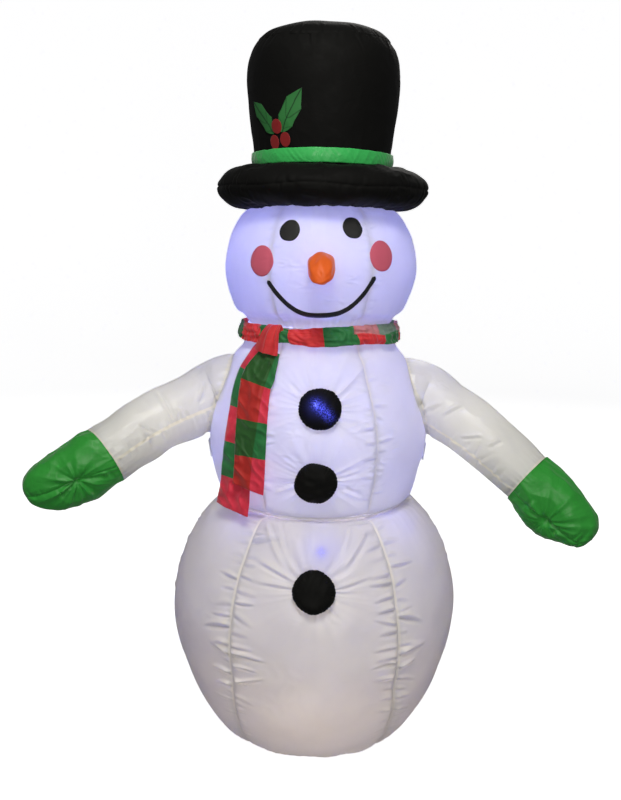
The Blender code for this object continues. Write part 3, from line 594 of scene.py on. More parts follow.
def puckers(across, way, length, rng, reach, density, strength):
    """Leaf-shaped puckers on both sides of a seam. across is the distance from it, way runs along it."""
    total = np.zeros(across.shape)
    count = max(int(length * density), 1)
    for side in (-1, 1):
        mine = (np.abs(across) < reach * 1.9) & (across * side >= 0)
        d, s = np.abs(across[mine]), way[mine]
        here = np.zeros(d.shape)
        for place in (np.arange(count) + rng.uniform(0.1, 0.9, count)) / count * length:
            size = rng.uniform(0.30, 1.0) * strength(place)
            long = reach * rng.uniform(0.45, 1.0) * (0.6 + 0.9 * size)
            wide = rng.uniform(0.0036, 0.0076)
            slope, bend = rng.normal(0, 0.17), rng.normal(0, 2.5)
            u = np.clip(d / long, 0, 1)
            x = (s - place - slope * d - bend * d * d) / (wide * (0.55 + 1.5 * u * (1 - u)))
            fade = (1 - u) ** 0.8 * smoothstep(0.0012, 0.0090, d)
            here += size * fade * (
                1.1 * np.exp(-((x - 1.05) ** 2) / 0.7) - np.exp(-((x + 0.35) ** 2) / 0.40)
            )
        total[mine] += here
    return total


SEAM_LEVELS = (1.0, 1.0, 0.40, 0.8, 0.8, 0.40)


def seam_relief(ball, seed, lobe, pucker, reach, density, strip_look, valley, strength):
    """The valley at each seam and the puckers that cross it, from the cloth's spare length there."""
    angle, _, way = ball.grid()
    strip_width, strip_levels = strip_look
    radius = ball.radius[:, None]
    relief = np.zeros(angle.shape)
    strip = np.zeros(angle.shape)
    painted_crease_shade = np.zeros(angle.shape)
    level_here = np.interp(ball.height, *zip(*strip_levels))[:, None]
    rng = np.random.default_rng(seed)

    def strength_at(place):
        return float(np.interp(np.interp(place, ball.way, ball.height), *zip(*strength)))

    for number, seam in enumerate(ball.seams):
        apart = arc_apart(angle, seam)
        across = apart * radius
        off = np.abs(across)
        share = np.clip(np.abs(apart) / (math.pi / GORES), 0, 1)
        relief -= lobe * radius * (1 - share) ** 2
        relief -= valley * np.exp(-off / 0.0030)
        side = 1 if 0 < number < 4 else -1
        narrow = 1 - smoothstep(strip_width - 0.0006, strip_width + 0.0006, off)
        strip = np.maximum(strip, level_here * narrow * (across * side > -0.0004))
        folds = puckers(across, way, ball.length, rng, reach, density, strength_at)
        relief += pucker * SEAM_LEVELS[number] * folds
        # Painted shade for the puckers' valleys, read by the white cloth's base colour.
        painted_crease_shade += np.clip(-folds * SEAM_LEVELS[number], 0, 1)
    ends = np.minimum(way, ball.length - way)
    nearest = np.min([np.abs(arc_apart(angle, seam)) for seam in ball.seams], axis=0) * radius
    thick = np.maximum(np.exp(-ends / 0.018), 0.6 * np.exp(-((nearest / 0.006) ** 2)))
    return relief, {"seam": strip, "painted_crease_shade": np.clip(painted_crease_shade, 0, 1), "thick": thick}


def round_button(ball, angle, way, centre, depth, seed):
    """The dimple and the folds that run out from a button sewn through the cloth."""
    x, height = centre
    t0 = ball.way_at(height)
    r0 = float(np.interp(t0, ball.way, ball.radius))
    a0 = math.asin(x / r0)
    u = arc_apart(angle, a0) * r0
    v = way - t0
    off = np.hypot(u, v)
    turn = np.arctan2(v, u)
    past = np.maximum(off - 0.026, 0)
    dimple = -depth * np.exp(-past / 0.017)
    above = 0.45 + 0.55 * smoothstep(-0.6, 0.3, np.sin(turn))
    short = creased(ring_noise(turn, seed, 13, 26)) * np.exp(-past / 0.024) * smoothstep(0.022, 0.036, off)
    long = creased(
        ring_noise(turn, seed + 5, 6, 13)
    ) * np.exp(-past / 0.048) * smoothstep(0.024, 0.050, off)
    return dimple + above * (0.0034 * short + 0.0060 * long)


def raised_and_sunk(off, spread):
    """A crease's section: raised on one side of its line and sunk on the other."""
    return np.exp(-((off - 0.7) ** 2) / spread) - np.exp(-((off + 0.7) ** 2) / spread)


def line_fold(ball, angle, way, start, end, width, height):
    """A straight crease from one (degrees, height) point to another."""
    t0, t1 = ball.way_at(start[1]), ball.way_at(end[1])
    r0 = float(np.interp(0.5 * (t0 + t1), ball.way, ball.radius))
    a = np.array([math.radians(start[0]) * r0, t0])
    b = np.array([math.radians(end[0]) * r0, t1])
    long = float(np.linalg.norm(b - a))
    run = (b - a) / long
    u, v = arc_apart(angle, 0.0) * r0 - a[0], way - a[1]
    along = (u * run[0] + v * run[1]) / long
    off = (u * run[1] - v * run[0]) / width
    fade = smoothstep(0.0, 0.15, along) * (1 - smoothstep(0.55, 1.0, along))
    return height * fade * raised_and_sunk(off, 0.6)


def crinkles(ball, angle, way, seed, middle, size, amplitude, shortest=0.010, longest=0.030, stretch=0.45):
    """A patch of small level creases round a (degrees, height) point."""
    x = arc_apart(angle, math.radians(middle[0])) * float(ball.radius.max())
    y = way - ball.way_at(middle[1])
    patch = np.exp(-((x / size[0]) ** 2) - (y / size[1]) ** 2)
    patch *= smoothstep(-0.5, 0.8, plane_noise(x, y, seed + 1, 0.03, 0.08))
    return amplitude * patch * creased(plane_noise(x * stretch + 0.25 * y, y, seed, shortest, longest, 20))


def soft_swells(ball, angle, way, seed, amplitude):
    """Slow unevenness of blown-up cloth, and finer folds that wander over it."""
    radius = float(ball.radius.max())
    x, y = radius * np.sin(angle), radius * np.cos(angle)
    slow = plane_noise(x, way + 0.7 * y, seed, 0.07, 0.22)
    fine = creased(plane_noise(x + y * 0.6, way, seed + 3, 0.028, 0.070, 18))
    patchy = smoothstep(-0.1, 1.0, plane_noise(x, way - 0.5 * y, seed + 7, 0.10, 0.25))
    away = smoothstep(0, 0.03, ball.length - way) * smoothstep(0, 0.03, way)
    return amplitude * (0.8 * slow + 0.35 * fine * patchy) * away


def cloth_layout(ball, angle, way):
    """u round the ball and v along its outline, in metres, for the weave."""
    return pair(angle * float(ball.radius.max()), way)


PORT_KEEP = 0.0625  # the radius of the hole cut for the fan


def port_frame():
    """The fan port's centre and normal, from the impeller's joint in the record."""
    joint = next(j for j in frame["joints"] if j["name"] == "impeller_spin")
    normal = np.array(joint["axis"], dtype=float)
    normal /= np.linalg.norm(normal)
    return np.array(joint["pos_m"], dtype=float) + normal * 0.0158, normal


def hang(points, angle, apart):
    """Lets the waist hang a little at the front; apart is the distance from it."""
    points[..., 2] -= 0.0058 * np.maximum(np.cos(angle), 0) ** 2 * np.exp(-apart / 0.030)
    return points


LOWER_FOLDS = (
    ((-27, 0.427), (-9, 0.350), 0.0048, 0.0030),
    ((-20, 0.428), (-12, 0.372), 0.0036, 0.0018),
    ((27, 0.415), (9, 0.350), 0.0048, 0.0030),
    ((18, 0.425), (10, 0.375), 0.0036, -0.0016),
    ((-10, 0.348), (-27, 0.372), 0.0040, 0.0022),
    ((-9, 0.335), (-26, 0.338), 0.0036, 0.0018),
    ((9, 0.335), (25, 0.352), 0.0040, -0.0020),
    ((4, 0.308), (9, 0.282), 0.0034, 0.0024),
    ((-1, 0.306), (-2, 0.280), 0.0030, 0.0020),
)


def lower_shell():
    ball = Ball(LOWER, 400, widen=((0.0, 17.0), (0.07, 11.0), (0.16, 5.5), (0.28, 3.5), (0.43, 1.5)))
    _, angle, way = ball.grid()
    relief, strip = seam_relief(
        ball, 11, 0.010, 0.0060, 0.042, 50, (0.0029, ((0.05, 0.35), (0.20, 0.75), (0.42, 0.95))), 0.0020,
        ((0.03, 0.15), (0.10, 0.45), (0.16, 1.0), (0.36, 1.0), (0.42, 0.6)),
    )
    top, bottom = ball.length - way, way
    relief += gathers(angle, top, 21, 30, 0.0022, 0.040)
    relief += gathers(angle, bottom, 23, 40, 0.0030, 0.034)
    relief += round_button(ball, angle, way, BUTTONS["button_bottom"], 0.0070, 25)
    for start, end, width, height in LOWER_FOLDS:
        relief += line_fold(ball, angle, way, start, end, width, height)
    strip["seam"] = np.maximum(strip["seam"], 0.7 * (1 - smoothstep(0.0016, 0.0030, top)))
    relief += soft_swells(ball, angle, way, 27, 0.0016)
    calm = smoothstep(
        0.020, 0.045, np.abs(ball.height[:, None] - ZIP_Z)
    ) + smoothstep(0.28, 0.42, np.abs(arc_apart(angle, math.pi)))
    relief = np.where(calm < 1, relief * calm - 0.0006 * (1 - np.minimum(calm, 1)), relief)
    points = hang(ball.points(relief), angle, top)
    centre, normal = port_frame()
    flat = points.reshape(-1, 3)
    above = (flat - centre) @ normal
    off = np.linalg.norm(flat - centre - above[:, None] * normal, axis=1)
    pull = (1 - smoothstep(0.074, 0.112, off)) * (flat[:, 1] > 0)
    target = -0.0030 - 0.0008
    flat = flat + (pull * (target - above))[:, None] * normal
    points = flat.reshape(points.shape)

    def keep(middles):
        level = (middles - centre) @ normal
        away = np.linalg.norm(middles - centre - level[:, None] * normal, axis=1)
        return (away > PORT_KEEP) | (middles[:, 1] < 0)

    obj = grid_object(
        "lower_ball", points, close=True, uv=cloth_layout(ball, angle, way), marks=strip, keep=keep
    )
    nodes = [*panels("lower"), "waist_band"]
    finish_piece(obj, white_lower, "white_cloth", *nodes, body="lower_body", fill=1.0)
    return obj


TORSO_CRINKLES = (
    (441, (24, 0.585), (0.022, 0.016), 0.0030),
    (443, (31, 0.545), (0.034, 0.034), 0.0026),
    (445, (27, 0.492), (0.036, 0.022), 0.0030),
    (447, (-12, 0.555), (0.030, 0.040), 0.0014),
    (449, (-17, 0.500), (0.020, 0.020), 0.0026),
    (451, (42, 0.640), (0.020, 0.016), 0.0014),
)
TORSO_FOLDS = (
    ((13, 0.482), (27, 0.462), 0.0045, 0.0030),
    ((12, 0.500), (24, 0.512), 0.0036, -0.0016),
    ((-12, 0.488), (-25, 0.470), 0.0042, -0.0020),
    ((11, 0.622), (22, 0.642), 0.0036, 0.0016),
    ((-10, 0.628), (-18, 0.648), 0.0036, -0.0014),
)


def waist_seam():
    """The waist's seam: a low bead outside, and the spare edges turned inwards, which keep the light back."""
    outline = [
        (0.1330, 0.4290), (0.1400, 0.4305), (0.1480, 0.4312), (0.1498, 0.4303), (0.1504, 0.4312),
        (0.1499, 0.4323), (0.1491, 0.4330)
    ]
    curve = smooth_curve(outline, 36)
    angle, row = around(360, np.arange(37))
    inside = smoothstep(0.148, 0.140, curve[row, 0])
    radius = curve[row, 0] + 0.0004 * ring_noise(angle, 475, 20, 60)
    height = curve[row, 1] + 0.0016 * inside * ring_noise(angle, 477, 12, 36)
    points = lathed(radius, angle, height)
    obj = grid_object(
        "waist_seam_cloth", hang(points, angle, 0.0), close=True, uv=pair(angle * 0.15, curve[row, 0])
    )
    thicken(obj, 0.0005, offset=0.0)
    dress(obj, seam_white)
    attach(obj, "lower_body")


def torso_shell():
    ball = Ball(TORSO, 240, widen=((0.43, 1.5), (0.55, 1.0), (0.72, -1.0)))
    _, angle, way = ball.grid()
    relief, strip = seam_relief(
        ball, 31, 0.006, 0.0036, 0.030, 50, (
            0.0028, ((0.44, 0.55), (0.52, 0.25), (0.58, 0.30), (0.63, 0.75), (0.70, 0.60))
        ), 0.0012,
        ((0.44, 0.4), (0.48, 0.9), (0.60, 0.8), (0.66, 0.35)),
    )
    top, bottom = ball.length - way, way
    strip["thick"] = np.maximum(strip["thick"], 0.8 * np.exp(-bottom / 0.014))
    strip["seam"] = np.maximum(strip["seam"], 0.7 * (1 - smoothstep(0.0016, 0.0030, bottom)))
    for seed, middle, size, amplitude in TORSO_CRINKLES:
        relief += crinkles(ball, angle, way, seed, middle, size, amplitude)
    for start, end, width, height in TORSO_FOLDS:
        relief += line_fold(ball, angle, way, start, end, width, height)
    relief += gathers(angle, top, 43, 24, 0.0022, 0.035)
    relief += round_button(ball, angle, way, BUTTONS["button_top"], 0.0060, 45)
    relief += round_button(ball, angle, way, BUTTONS["button_middle"], 0.0060, 47)
    relief += soft_swells(ball, angle, way, 49, 0.0016)
    obj = grid_object(
        "torso_ball", hang(ball.points(relief), angle, bottom), close=True,
        uv=cloth_layout(ball, angle, way), marks=strip
    )
    bend = ("lower_body", "torso", WAIST, WAIST_TOP)
    finish_piece(obj, white_upper, "white_cloth", *panels("torso"), "neck_band", bend=bend, fill=1.0)
    return obj


HEAD_CRINKLES = (
    (461, (14, 0.815), (0.030, 0.012), 0.0022),
    (463, (-20, 0.828), (0.020, 0.012), 0.0018),
    (465, (27, 0.880), (0.014, 0.030), 0.0020),
    (467, (12, 0.775), (0.050, 0.010), 0.0016),
    (469, (-12, 0.800), (0.030, 0.012), 0.0012),
    (471, (36, 0.800), (0.020, 0.018), 0.0014),
)


def head_shell():
    ball = Ball(HEAD, 200)
    _, angle, way = ball.grid()
    relief, strip = seam_relief(
        ball, 51, 0.003, 0.0016, 0.024, 56, (
            0.0024, ((0.755, 0.45), (0.79, 0.04), (0.90, 0.04), (0.925, 0.55))
        ), 0.0006,
        ((0.75, 0.8), (0.80, 0.5), (0.88, 0.5), (0.92, 0.9)),
    )
    top, bottom = ball.length - way, way
    for seed, middle, size, amplitude in HEAD_CRINKLES:
        relief += crinkles(ball, angle, way, seed, middle, size, amplitude, 0.009, 0.026, 0.35)
    relief += gathers(angle, np.maximum(top - 0.008, 0), 61, 30, 0.0028, 0.035)
    relief += gathers(angle, np.maximum(bottom - 0.012, 0), 63, 28, 0.0022, 0.035)
    relief += soft_swells(ball, angle, way, 69, 0.0013)
    obj = grid_object(
        "head_ball", ball.points(relief), close=True, uv=cloth_layout(ball, angle, way), marks=strip
    )
    bend = ("torso", "head", (0, 0, 0.733), (0, 0, 0.752))
    finish_piece(obj, white_upper, "white_cloth", *panels("head"), bend=bend, fill=1.0)
    return obj


lower = lower_shell()
waist_seam()
torso = torso_shell()
head = head_shell()
head_tree = ball_tree(head)


def base_cloth():
    """The flat panel the figure stands on, with its edge drawn in a little."""
    angle, share = around(96, np.linspace(0.02, 1.0, 24))
    radius = share * (BASE_RADIUS + 0.0005)
    edge = smoothstep(0.75, 1.0, share)
    height = 0.0006 + edge * (0.0008 + 0.0006 * ring_noise(angle, 81, 18, 40))
    points = lathed(radius, angle, height)
    obj = grid_object("base_cloth", points, close=True, uv=points[:, :, :2])
    finish_piece(obj, white_lower, "white_cloth", "base_panel", body="lower_body", fill=1.0)


base_cloth()


# Hat -------------------------------------------------------------------------
def seam_folds(across, way, length, seed, pucker, reach, density, valley=0.0022):
    """The valley at one seam and the puckers that cross it, with across and way as for puckers."""
    rng = np.random.default_rng(seed)
    off = np.abs(across)
    relief = -valley * np.exp(-off / 0.0030)
    count = max(int(length * density), 1)
    for side in (-1, 1):
        mine = (off < reach * 1.9) & (across * side >= 0)
        d, s = off[mine], way[mine]
        total = np.zeros(d.shape)
        for place in (np.arange(count) + rng.uniform(0.1, 0.9, count)) / count * length:
            size = rng.uniform(0.35, 1.0) ** 1.3
            long = reach * rng.uniform(0.45, 1.0) * (0.6 + 0.9 * size)
            wide = rng.uniform(0.0028, 0.0060)
            slope = rng.normal(0, 0.16)
            x = (s - place - slope * d) / wide
            fade = np.clip(1 - d / long, 0, 1) ** 0.9 * smoothstep(-0.001, 0.004, d)
            total += size * fade * (
                0.75 * np.exp(-((x - 1.15) ** 2) / 0.9) - np.exp(-((x + 0.35) ** 2) / 0.45)
            )
        relief[mine] += pucker * total
    return relief


def hat_brim():
    """The brim's blown-up ring, sewn round its outer edge and gathered towards the head and the crown."""
    section = np.radians(np.linspace(-107, 107, 97))
    angle, turn = around(720, section)
    half_r, half_z = BRIM_HALF
    way = turn * 0.044
    edge = way + 0.0040 * ring_noise(angle, 101, 2, 7)
    relief = seam_folds(edge, angle * 0.176, TAU * 0.176, 103, 0.0017, 0.026, 42, valley=0.0022)
    ends = np.radians(107) * 0.044 - np.abs(way)
    relief += gathers(angle, ends, 105, 30, 0.0024, 0.030)
    relief += 0.0016 * plane_noise(np.sin(angle) * 0.15, np.cos(angle) * 0.15 + way, 107, 0.05, 0.16)
    relief += 0.0014 * creased(
        plane_noise(angle * 0.10, way, 109, 0.02, 0.06, 18)
    ) * smoothstep(-0.2, 1.0, ring_noise(angle, 111, 3, 9))
    relief *= smoothstep(0.0, 0.010, ends)
    radius = BRIM_CENTRE[0] + (half_r + relief) * np.cos(turn)
    droop = 0.0035 * np.sin(angle) ** 2
    height = BRIM_CENTRE[1] - droop + (half_z + relief) * np.sin(turn)
    points = lathed(radius, angle, height) + np.array([0.0014, 0.0, 0.0])
    obj = grid_object("hat_brim_cloth", points, close=True, uv=pair(angle * 0.17, way))
    finish_piece(obj, black, "black_cloth", "hat_brim_under", "hat_brim_top", body="head", fill=1.0)
    return obj


def crown_relief(angle, way, length):
    relief = gathers(
        angle, np.maximum(way - 0.030, 0), 121, 24, 0.0012, 0.024
    ) * smoothstep(0.028, 0.034, way)
    relief += seam_folds(length - way, angle * 0.115, TAU * 0.115, 123, 0.0016, 0.034, 50, valley=0.0008)
    relief += 0.0008 * plane_noise(np.sin(angle) * 0.12, np.cos(angle) * 0.12 + way, 125, 0.08, 0.2)
    relief += 0.0004 * creased(plane_noise(angle * 0.12, way, 127, 0.03, 0.09, 18))
    for number, seam in enumerate((math.radians(-95), math.radians(85))):
        relief += 0.5 * seam_folds(
            arc_apart(angle, seam) * 0.12, way, length, 129 + number, 0.0012, 0.018, 60
        )
    return relief


def hat_crown():
    """The crown's side, and its slightly domed top as a second panel sewn to it."""
    radius, height, way, normal = outline_of(CROWN, 130)
    angle, along = around(540, way)
    points = turned_points(radius, height, normal, angle, crown_relief(angle, along, way[-1]))
    side = grid_object("hat_crown_cloth", points, close=True, uv=pair(angle * 0.12, along))
    finish_piece(side, black, "black_cloth", "hat_crown_side", body="head", fill=1.0)

    radius, height, way, normal = outline_of(CROWN_TOP, 70)
    angle, along = around(540, way)
    inside = smoothstep(0, 0.03, way[-1] - along)
    relief = seam_folds(
        along, angle * 0.115, TAU * 0.115, 133, 0.0014, 0.034, 50, valley=0.0008
    ) * smoothstep(0.02, 0.08, radius[:, None])
    relief += inside * 0.0006 * plane_noise(
        radius[:, None] * np.sin(angle), radius[:, None] * np.cos(angle), 135, 0.05, 0.15
    )
    points = turned_points(radius, height, normal, angle, relief)
    uv = pair(radius[:, None] * np.sin(angle), radius[:, None] * np.cos(angle))
    top = grid_object("hat_top_cloth", points, close=True, uv=uv)
    finish_piece(top, black, "black_cloth", "hat_crown_top", body="head", fill=1.0)
    return side


def hat_band():
    """The green band, creased upright where it is drawn in round the crown's foot."""
    angle, up = around(720, np.linspace(0, 1, 15))
    edge = 0.0010 * ring_noise(angle, 141, 9, 40)
    middle = np.cos(angle) ** 2
    foot, top = 0.9905 + 0.0040 * middle, 1.0108 + 0.0064 * middle
    height = foot + (top - foot) * up + edge * (up - 0.5) * 0.6 + 0.0006 * ring_noise(angle, 143, 1, 4)
    pleat = creased(
        ring_noise(angle + 0.16 * up, 145, 20, 56)
    ) + 0.8 * creased(ring_noise(angle - 0.10 * up, 147, 9, 26))
    lift = 0.0014 + 0.0007 * pleat * (0.5 + 0.5 * np.sin(math.pi * up)) + 0.0014 * np.sin(math.pi * up)
    radius = np.interp(height, [0.978, 1.029], [0.1124, 0.1164]) + np.maximum(lift, 0.0004) + 0.0006
    points = lathed(radius, angle, height)
    obj = grid_object("hat_band_cloth", points, close=True, uv=pair(angle * 0.118, 0.022 * up))
    thicken(obj, 0.0006)
    finish_piece(obj, band_green, "band_green", "hat_band", body="head")


def project_patch(name, outline_grid, tree, place, lift, material, slot, node, marks=None):
    """A thin print or patch: its (u, v) grid is set on the surface behind it."""
    rows, columns = outline_grid.shape[:2]
    points = np.zeros((rows, columns, 3))
    for i in range(rows):
        for j in range(columns):
            points[i, j] = lay_on(tree, place(*outline_grid[i, j]), lift)
    obj = grid_object(name, points, uv=outline_grid, marks=marks)
    bm = bmesh.new()
    bm.from_mesh(obj.data)
    bmesh.ops.remove_doubles(bm, verts=bm.verts, dist=1e-5)
    bm.to_mesh(obj.data)
    bm.free()
    thicken(obj, 0.0004)
    finish_piece(obj, material, slot, node, body="head")
    return obj


def disc_grid(u, v, half_u, half_v, seed):
    share, angle = np.meshgrid(np.linspace(0, 1, 14), np.linspace(0, TAU, 85), indexing="ij")
    wobble = 1 + 0.012 * ring_noise(angle, seed, 2, 6)
    return pair(u + half_u * share * wobble * np.cos(angle), v + half_v * share * wobble * np.sin(angle))


FACE_RADIUS, FACE_CENTRE_Z, FACE_TURN = 0.160, 0.830, math.radians(3.0)


def on_face(u, v):
    arc = u * math.cos(FACE_TURN) - v * math.sin(FACE_TURN)
    z = FACE_CENTRE_Z + u * math.sin(FACE_TURN) + v * math.cos(FACE_TURN)
    angle = arc / FACE_RADIUS
    return (FACE_RADIUS * math.sin(angle), -FACE_RADIUS * math.cos(angle), z)


def face():
    for side, sign in (("left", -1), ("right", 1)):
        eye = disc_grid(0.0030 + sign * 0.0550, 0.8893 - FACE_CENTRE_Z, 0.0182, 0.0164, seed=151 + sign)
        project_patch(
            f"eye_{side}_print", eye, head_tree, on_face, 0.0008, print_black, "print_black", f"eye_{side}"
        )
        cheek = disc_grid(0.0022 + sign * 0.1012, 0.8437 - FACE_CENTRE_Z, 0.0225, 0.0240, seed=161 + sign)
        project_patch(
            f"cheek_{side}_print", cheek, head_tree, on_face, 0.0008, cheek_pink, "cheek_pink",
            f"cheek_{side}"
        )
    share = np.linspace(-1, 1, 141)
    centre = pair(0.0890 * share, 0.7550 + (0.8128 - 0.7550) * np.abs(share) ** 2.8 - FACE_CENTRE_Z)
    along = np.gradient(centre, axis=0)
    along /= np.linalg.norm(along, axis=1)[:, None]
    side = pair(-along[:, 1], along[:, 0])
    way = np.concatenate([[0], np.cumsum(np.linalg.norm(np.diff(centre, axis=0), axis=1))])
    end = np.minimum(way, way[-1] - way)
    half = 0.0040 * np.sqrt(np.clip(1 - (1 - np.clip(end / 0.0040, 0, 1)) ** 2, 0.02, 1))
    across = np.linspace(-1, 1, 6)
    grid = centre[:, None] + side[:, None] * (half[:, None] * across[None, :])[..., None]
    project_patch("mouth_print", grid, head_tree, on_face, 0.0008, print_black, "print_black", "mouth")


HOLLY_ANGLE, HOLLY_Z, HOLLY_RADIUS = math.radians(-38), 1.0460, 0.120


def on_crown(u, v):
    """u and v are offsets as seen from the front, level and upright."""
    place = math.sin(HOLLY_ANGLE) + u / HOLLY_RADIUS
    return (HOLLY_RADIUS * place, -HOLLY_RADIUS * math.sqrt(1 - place * place), HOLLY_Z + v)


# Each leaf's two edges from its foot to its tip in millimetres, with the spines as corners.
HOLLY_LEAVES = {
    "left": (
        [
            (-6.0, -8.5), (-12.5, -7.8), (-18.3, -5.2), (-22.0, 3.0), (-29.7, 17.8), (-31.6, 20.0),
            (-34.4, 44.6)
        ],
        [
            (-4.5, -6.0), (-5.5, 2.0), (-6.6, 17.8), (-10.5, 21.0), (-15.4, 28.5), (-21.3, 39.1),
            (-34.4, 44.6)
        ],
    ),
    "right": (
        [(6.0, -6.0), (4.6, 6.0), (3.6, 20.2), (9.0, 30.0), (16.6, 47.4), (20.0, 49.5), (40.8, 60.5)],
        [(10.7, -6.0), (17.0, -4.0), (24.9, 1.2), (28.0, 9.0), (39.8, 28.5), (39.2, 34.0), (40.8, 60.5)],
    ),
}


def leaf_grid(edges):
    share, across = np.meshgrid(np.linspace(0.0, 1.0, 121), np.linspace(-1, 1, 25), indexing="ij")
    knots = np.linspace(0, 1, 7)
    left, right = (
        np.stack(
            [np.interp(share, knots, column) for column in np.array(edge).T], axis=-1
        ) for edge in edges
    )
    grid = 0.001 * (left + (right - left) * (0.5 + 0.5 * across)[..., None])
    out = np.abs(across) * 0.5 * np.linalg.norm(right - left, axis=-1) * 0.001
    vein = np.exp(-((out / 0.0008) ** 2))
    for foot in (0.10, 0.42):
        off = (share - foot - 0.24 * np.abs(across)) * 0.070
        vein = np.maximum(vein, 0.9 * np.exp(-((off / 0.0008) ** 2)))
    vein = np.maximum(vein, 0.7 * smoothstep(0.90, 1.0, np.abs(across)))
    return grid, vein


def holly(crown):
    tree = ball_tree(crown)
    leaf = Nodes("leaf_print")
    shade = leaf.mix(leaf.attribute("vein"), (0.034, 0.215, 0.048), (0.002, 0.022, 0.004))
    rough = leaf.ramp(leaf.noise(leaf.coordinates(), 60.0), 0.3, 0.7, 0.5, 0.62)
    normal = leaf.bump(leaf.noise(leaf.coordinates(), 60.0, ridged=True), 0.0006, 0.5)
    leaf.surface(Base_Color=shade, Roughness=rough, Normal=normal)
    for side, edges in HOLLY_LEAVES.items():
        grid, vein = leaf_grid(edges)
        project_patch(
            f"holly_leaf_{side}_print", grid, tree, on_crown, 0.0006, leaf.material, "leaf_green",
            "holly_leaves", marks={"vein": vein}
        )
    for name, u, v, wide, lift in (
        ("top", 0.0, 0.0031, 0.0080, 0.0012), ("left", -0.0056, -0.0212, 0.0074, 0.0012),
        ("right", 0.0122, -0.0174, 0.0085, 0.0012)
    ):
        disc = disc_grid(u, v, wide, 0.0114, seed=171)
        project_patch(
            f"holly_berry_{name}_print", disc, tree, on_crown, lift, berry_red, "berry_red", "holly_berries"
        )


hat_brim()
crown = hat_crown()
hat_band()
face()
holly(crown)


# Nose and buttons ------------------------------------------------------------
def surface_frame(outline, angle, height, lift=0.0):
    """A matrix whose +Z is the plain surface's normal there and whose +Y is uphill along it."""

    def place(z):
        radius = float(radius_at(outline, z))
        return Vector((radius * math.sin(angle), -radius * math.cos(angle), z))

    uphill = (place(height + 0.004) - place(height - 0.004)).normalized()
    sideways = Vector((math.cos(angle), math.sin(angle), 0))
    normal = sideways.cross(uphill).normalized()
    frame_here = Matrix((sideways, uphill, normal)).transposed().to_4x4()
    return Matrix.Translation(place(height) + normal * lift) @ frame_here


def placed(points, matrix):
    turn = np.array(matrix.to_3x3())
    return points @ turn.T + np.array(matrix.translation)


def nose():
    """A small stuffed cone that points forward and droops, sewn on round its foot."""
    outline = [
        (0.0194, -0.0020), (0.0213, 0.006), (0.0212, 0.022), (0.0200, 0.038), (0.0160, 0.050),
        (0.0085, 0.0575), (0.0, 0.0595)
    ]
    radius, height, way, normal = outline_of(outline, 80)
    angle, along = around(144, way)
    relief = seam_folds(along, angle * 0.021, TAU * 0.021, 181, 0.0008, 0.010, 120, valley=0.0006)
    for number, seam in enumerate((0.5, 3.6)):
        relief += seam_folds(
            arc_apart(angle, seam) * radius[:, None], along, way[-1], 183 + number, 0.0003, 0.008, 90,
            valley=0.0005
        )
    relief += 0.0008 * plane_noise(np.sin(angle) * 0.02, np.cos(angle) * 0.02 + along, 187, 0.018, 0.05)
    relief += 0.0008 * np.cos(6 * angle + 0.4) * smoothstep(0.006, 0.018, radius[:, None])
    relief *= smoothstep(0.0, 0.010, radius[:, None])
    out = radius[:, None] + normal[:, :1] * relief
    up = height[:, None] + normal[:, 1:] * relief
    points = np.stack([out * np.sin(angle), out * np.cos(angle), up], axis=-1)
    points[..., 1] -= math.tan(math.radians(20)) * np.maximum(points[..., 2], 0) ** 2 / 0.062
    points = placed(points, surface_frame(HEAD, 0.0, 0.8340))
    obj = grid_object("nose_cloth", points, close=True, uv=pair(angle * 0.021, along))
    finish_piece(obj, orange, "orange_cloth", "nose", body="head", fill=0.9)


def button(name, x, height, seed):
    """A padded black disc, drawn in round its edge with small folds."""
    outline = smooth_curve(
        [
            (0.0334, -0.0035), (0.0340, 0.0010), (0.0320, 0.0075), (0.0245, 0.0130), (0.0140, 0.0160),
            (0.0, 0.0168)
        ],
        60
    )
    angle, row = around(180, np.arange(61))
    radius, up = outline[row, 0], outline[row, 1]
    edge = smoothstep(0.008, 0.030, radius)
    wobble = 1 + 0.020 * ring_noise(angle, seed, 2, 5) * edge
    fold = creased(ring_noise(angle + 0.1 * up / 0.017, seed + 1, 12, 30)) * edge
    level = plane_noise(radius * np.sin(angle), radius * np.cos(angle), seed + 3, 0.012, 0.04)
    lift = 0.0007 * fold * smoothstep(0.020, 0.032, radius) + 0.0008 * level
    out = radius * wobble + 0.0009 * fold
    points = np.stack(
        [out * np.sin(angle), out * np.cos(angle), up + lift * smoothstep(-0.002, 0.006, up)], axis=-1
    )
    low = height < WAIST[2]
    shape = LOWER if low else TORSO
    turn = math.asin(x / float(radius_at(shape, height)))
    points = placed(points, surface_frame(shape, turn, height, lift=0.0006))
    uv = pair(radius * np.sin(angle), radius * np.cos(angle))
    obj = grid_object(f"{name}_cloth", points, close=True, uv=uv)
    material = black_top if name == "button_top" else black
    body = "lower_body" if low else "torso"
    finish_piece(obj, material, "black_cloth", name, body=body, fill=0.8)


LAMP_BLUE = (0.08, 0.10, 1.0)
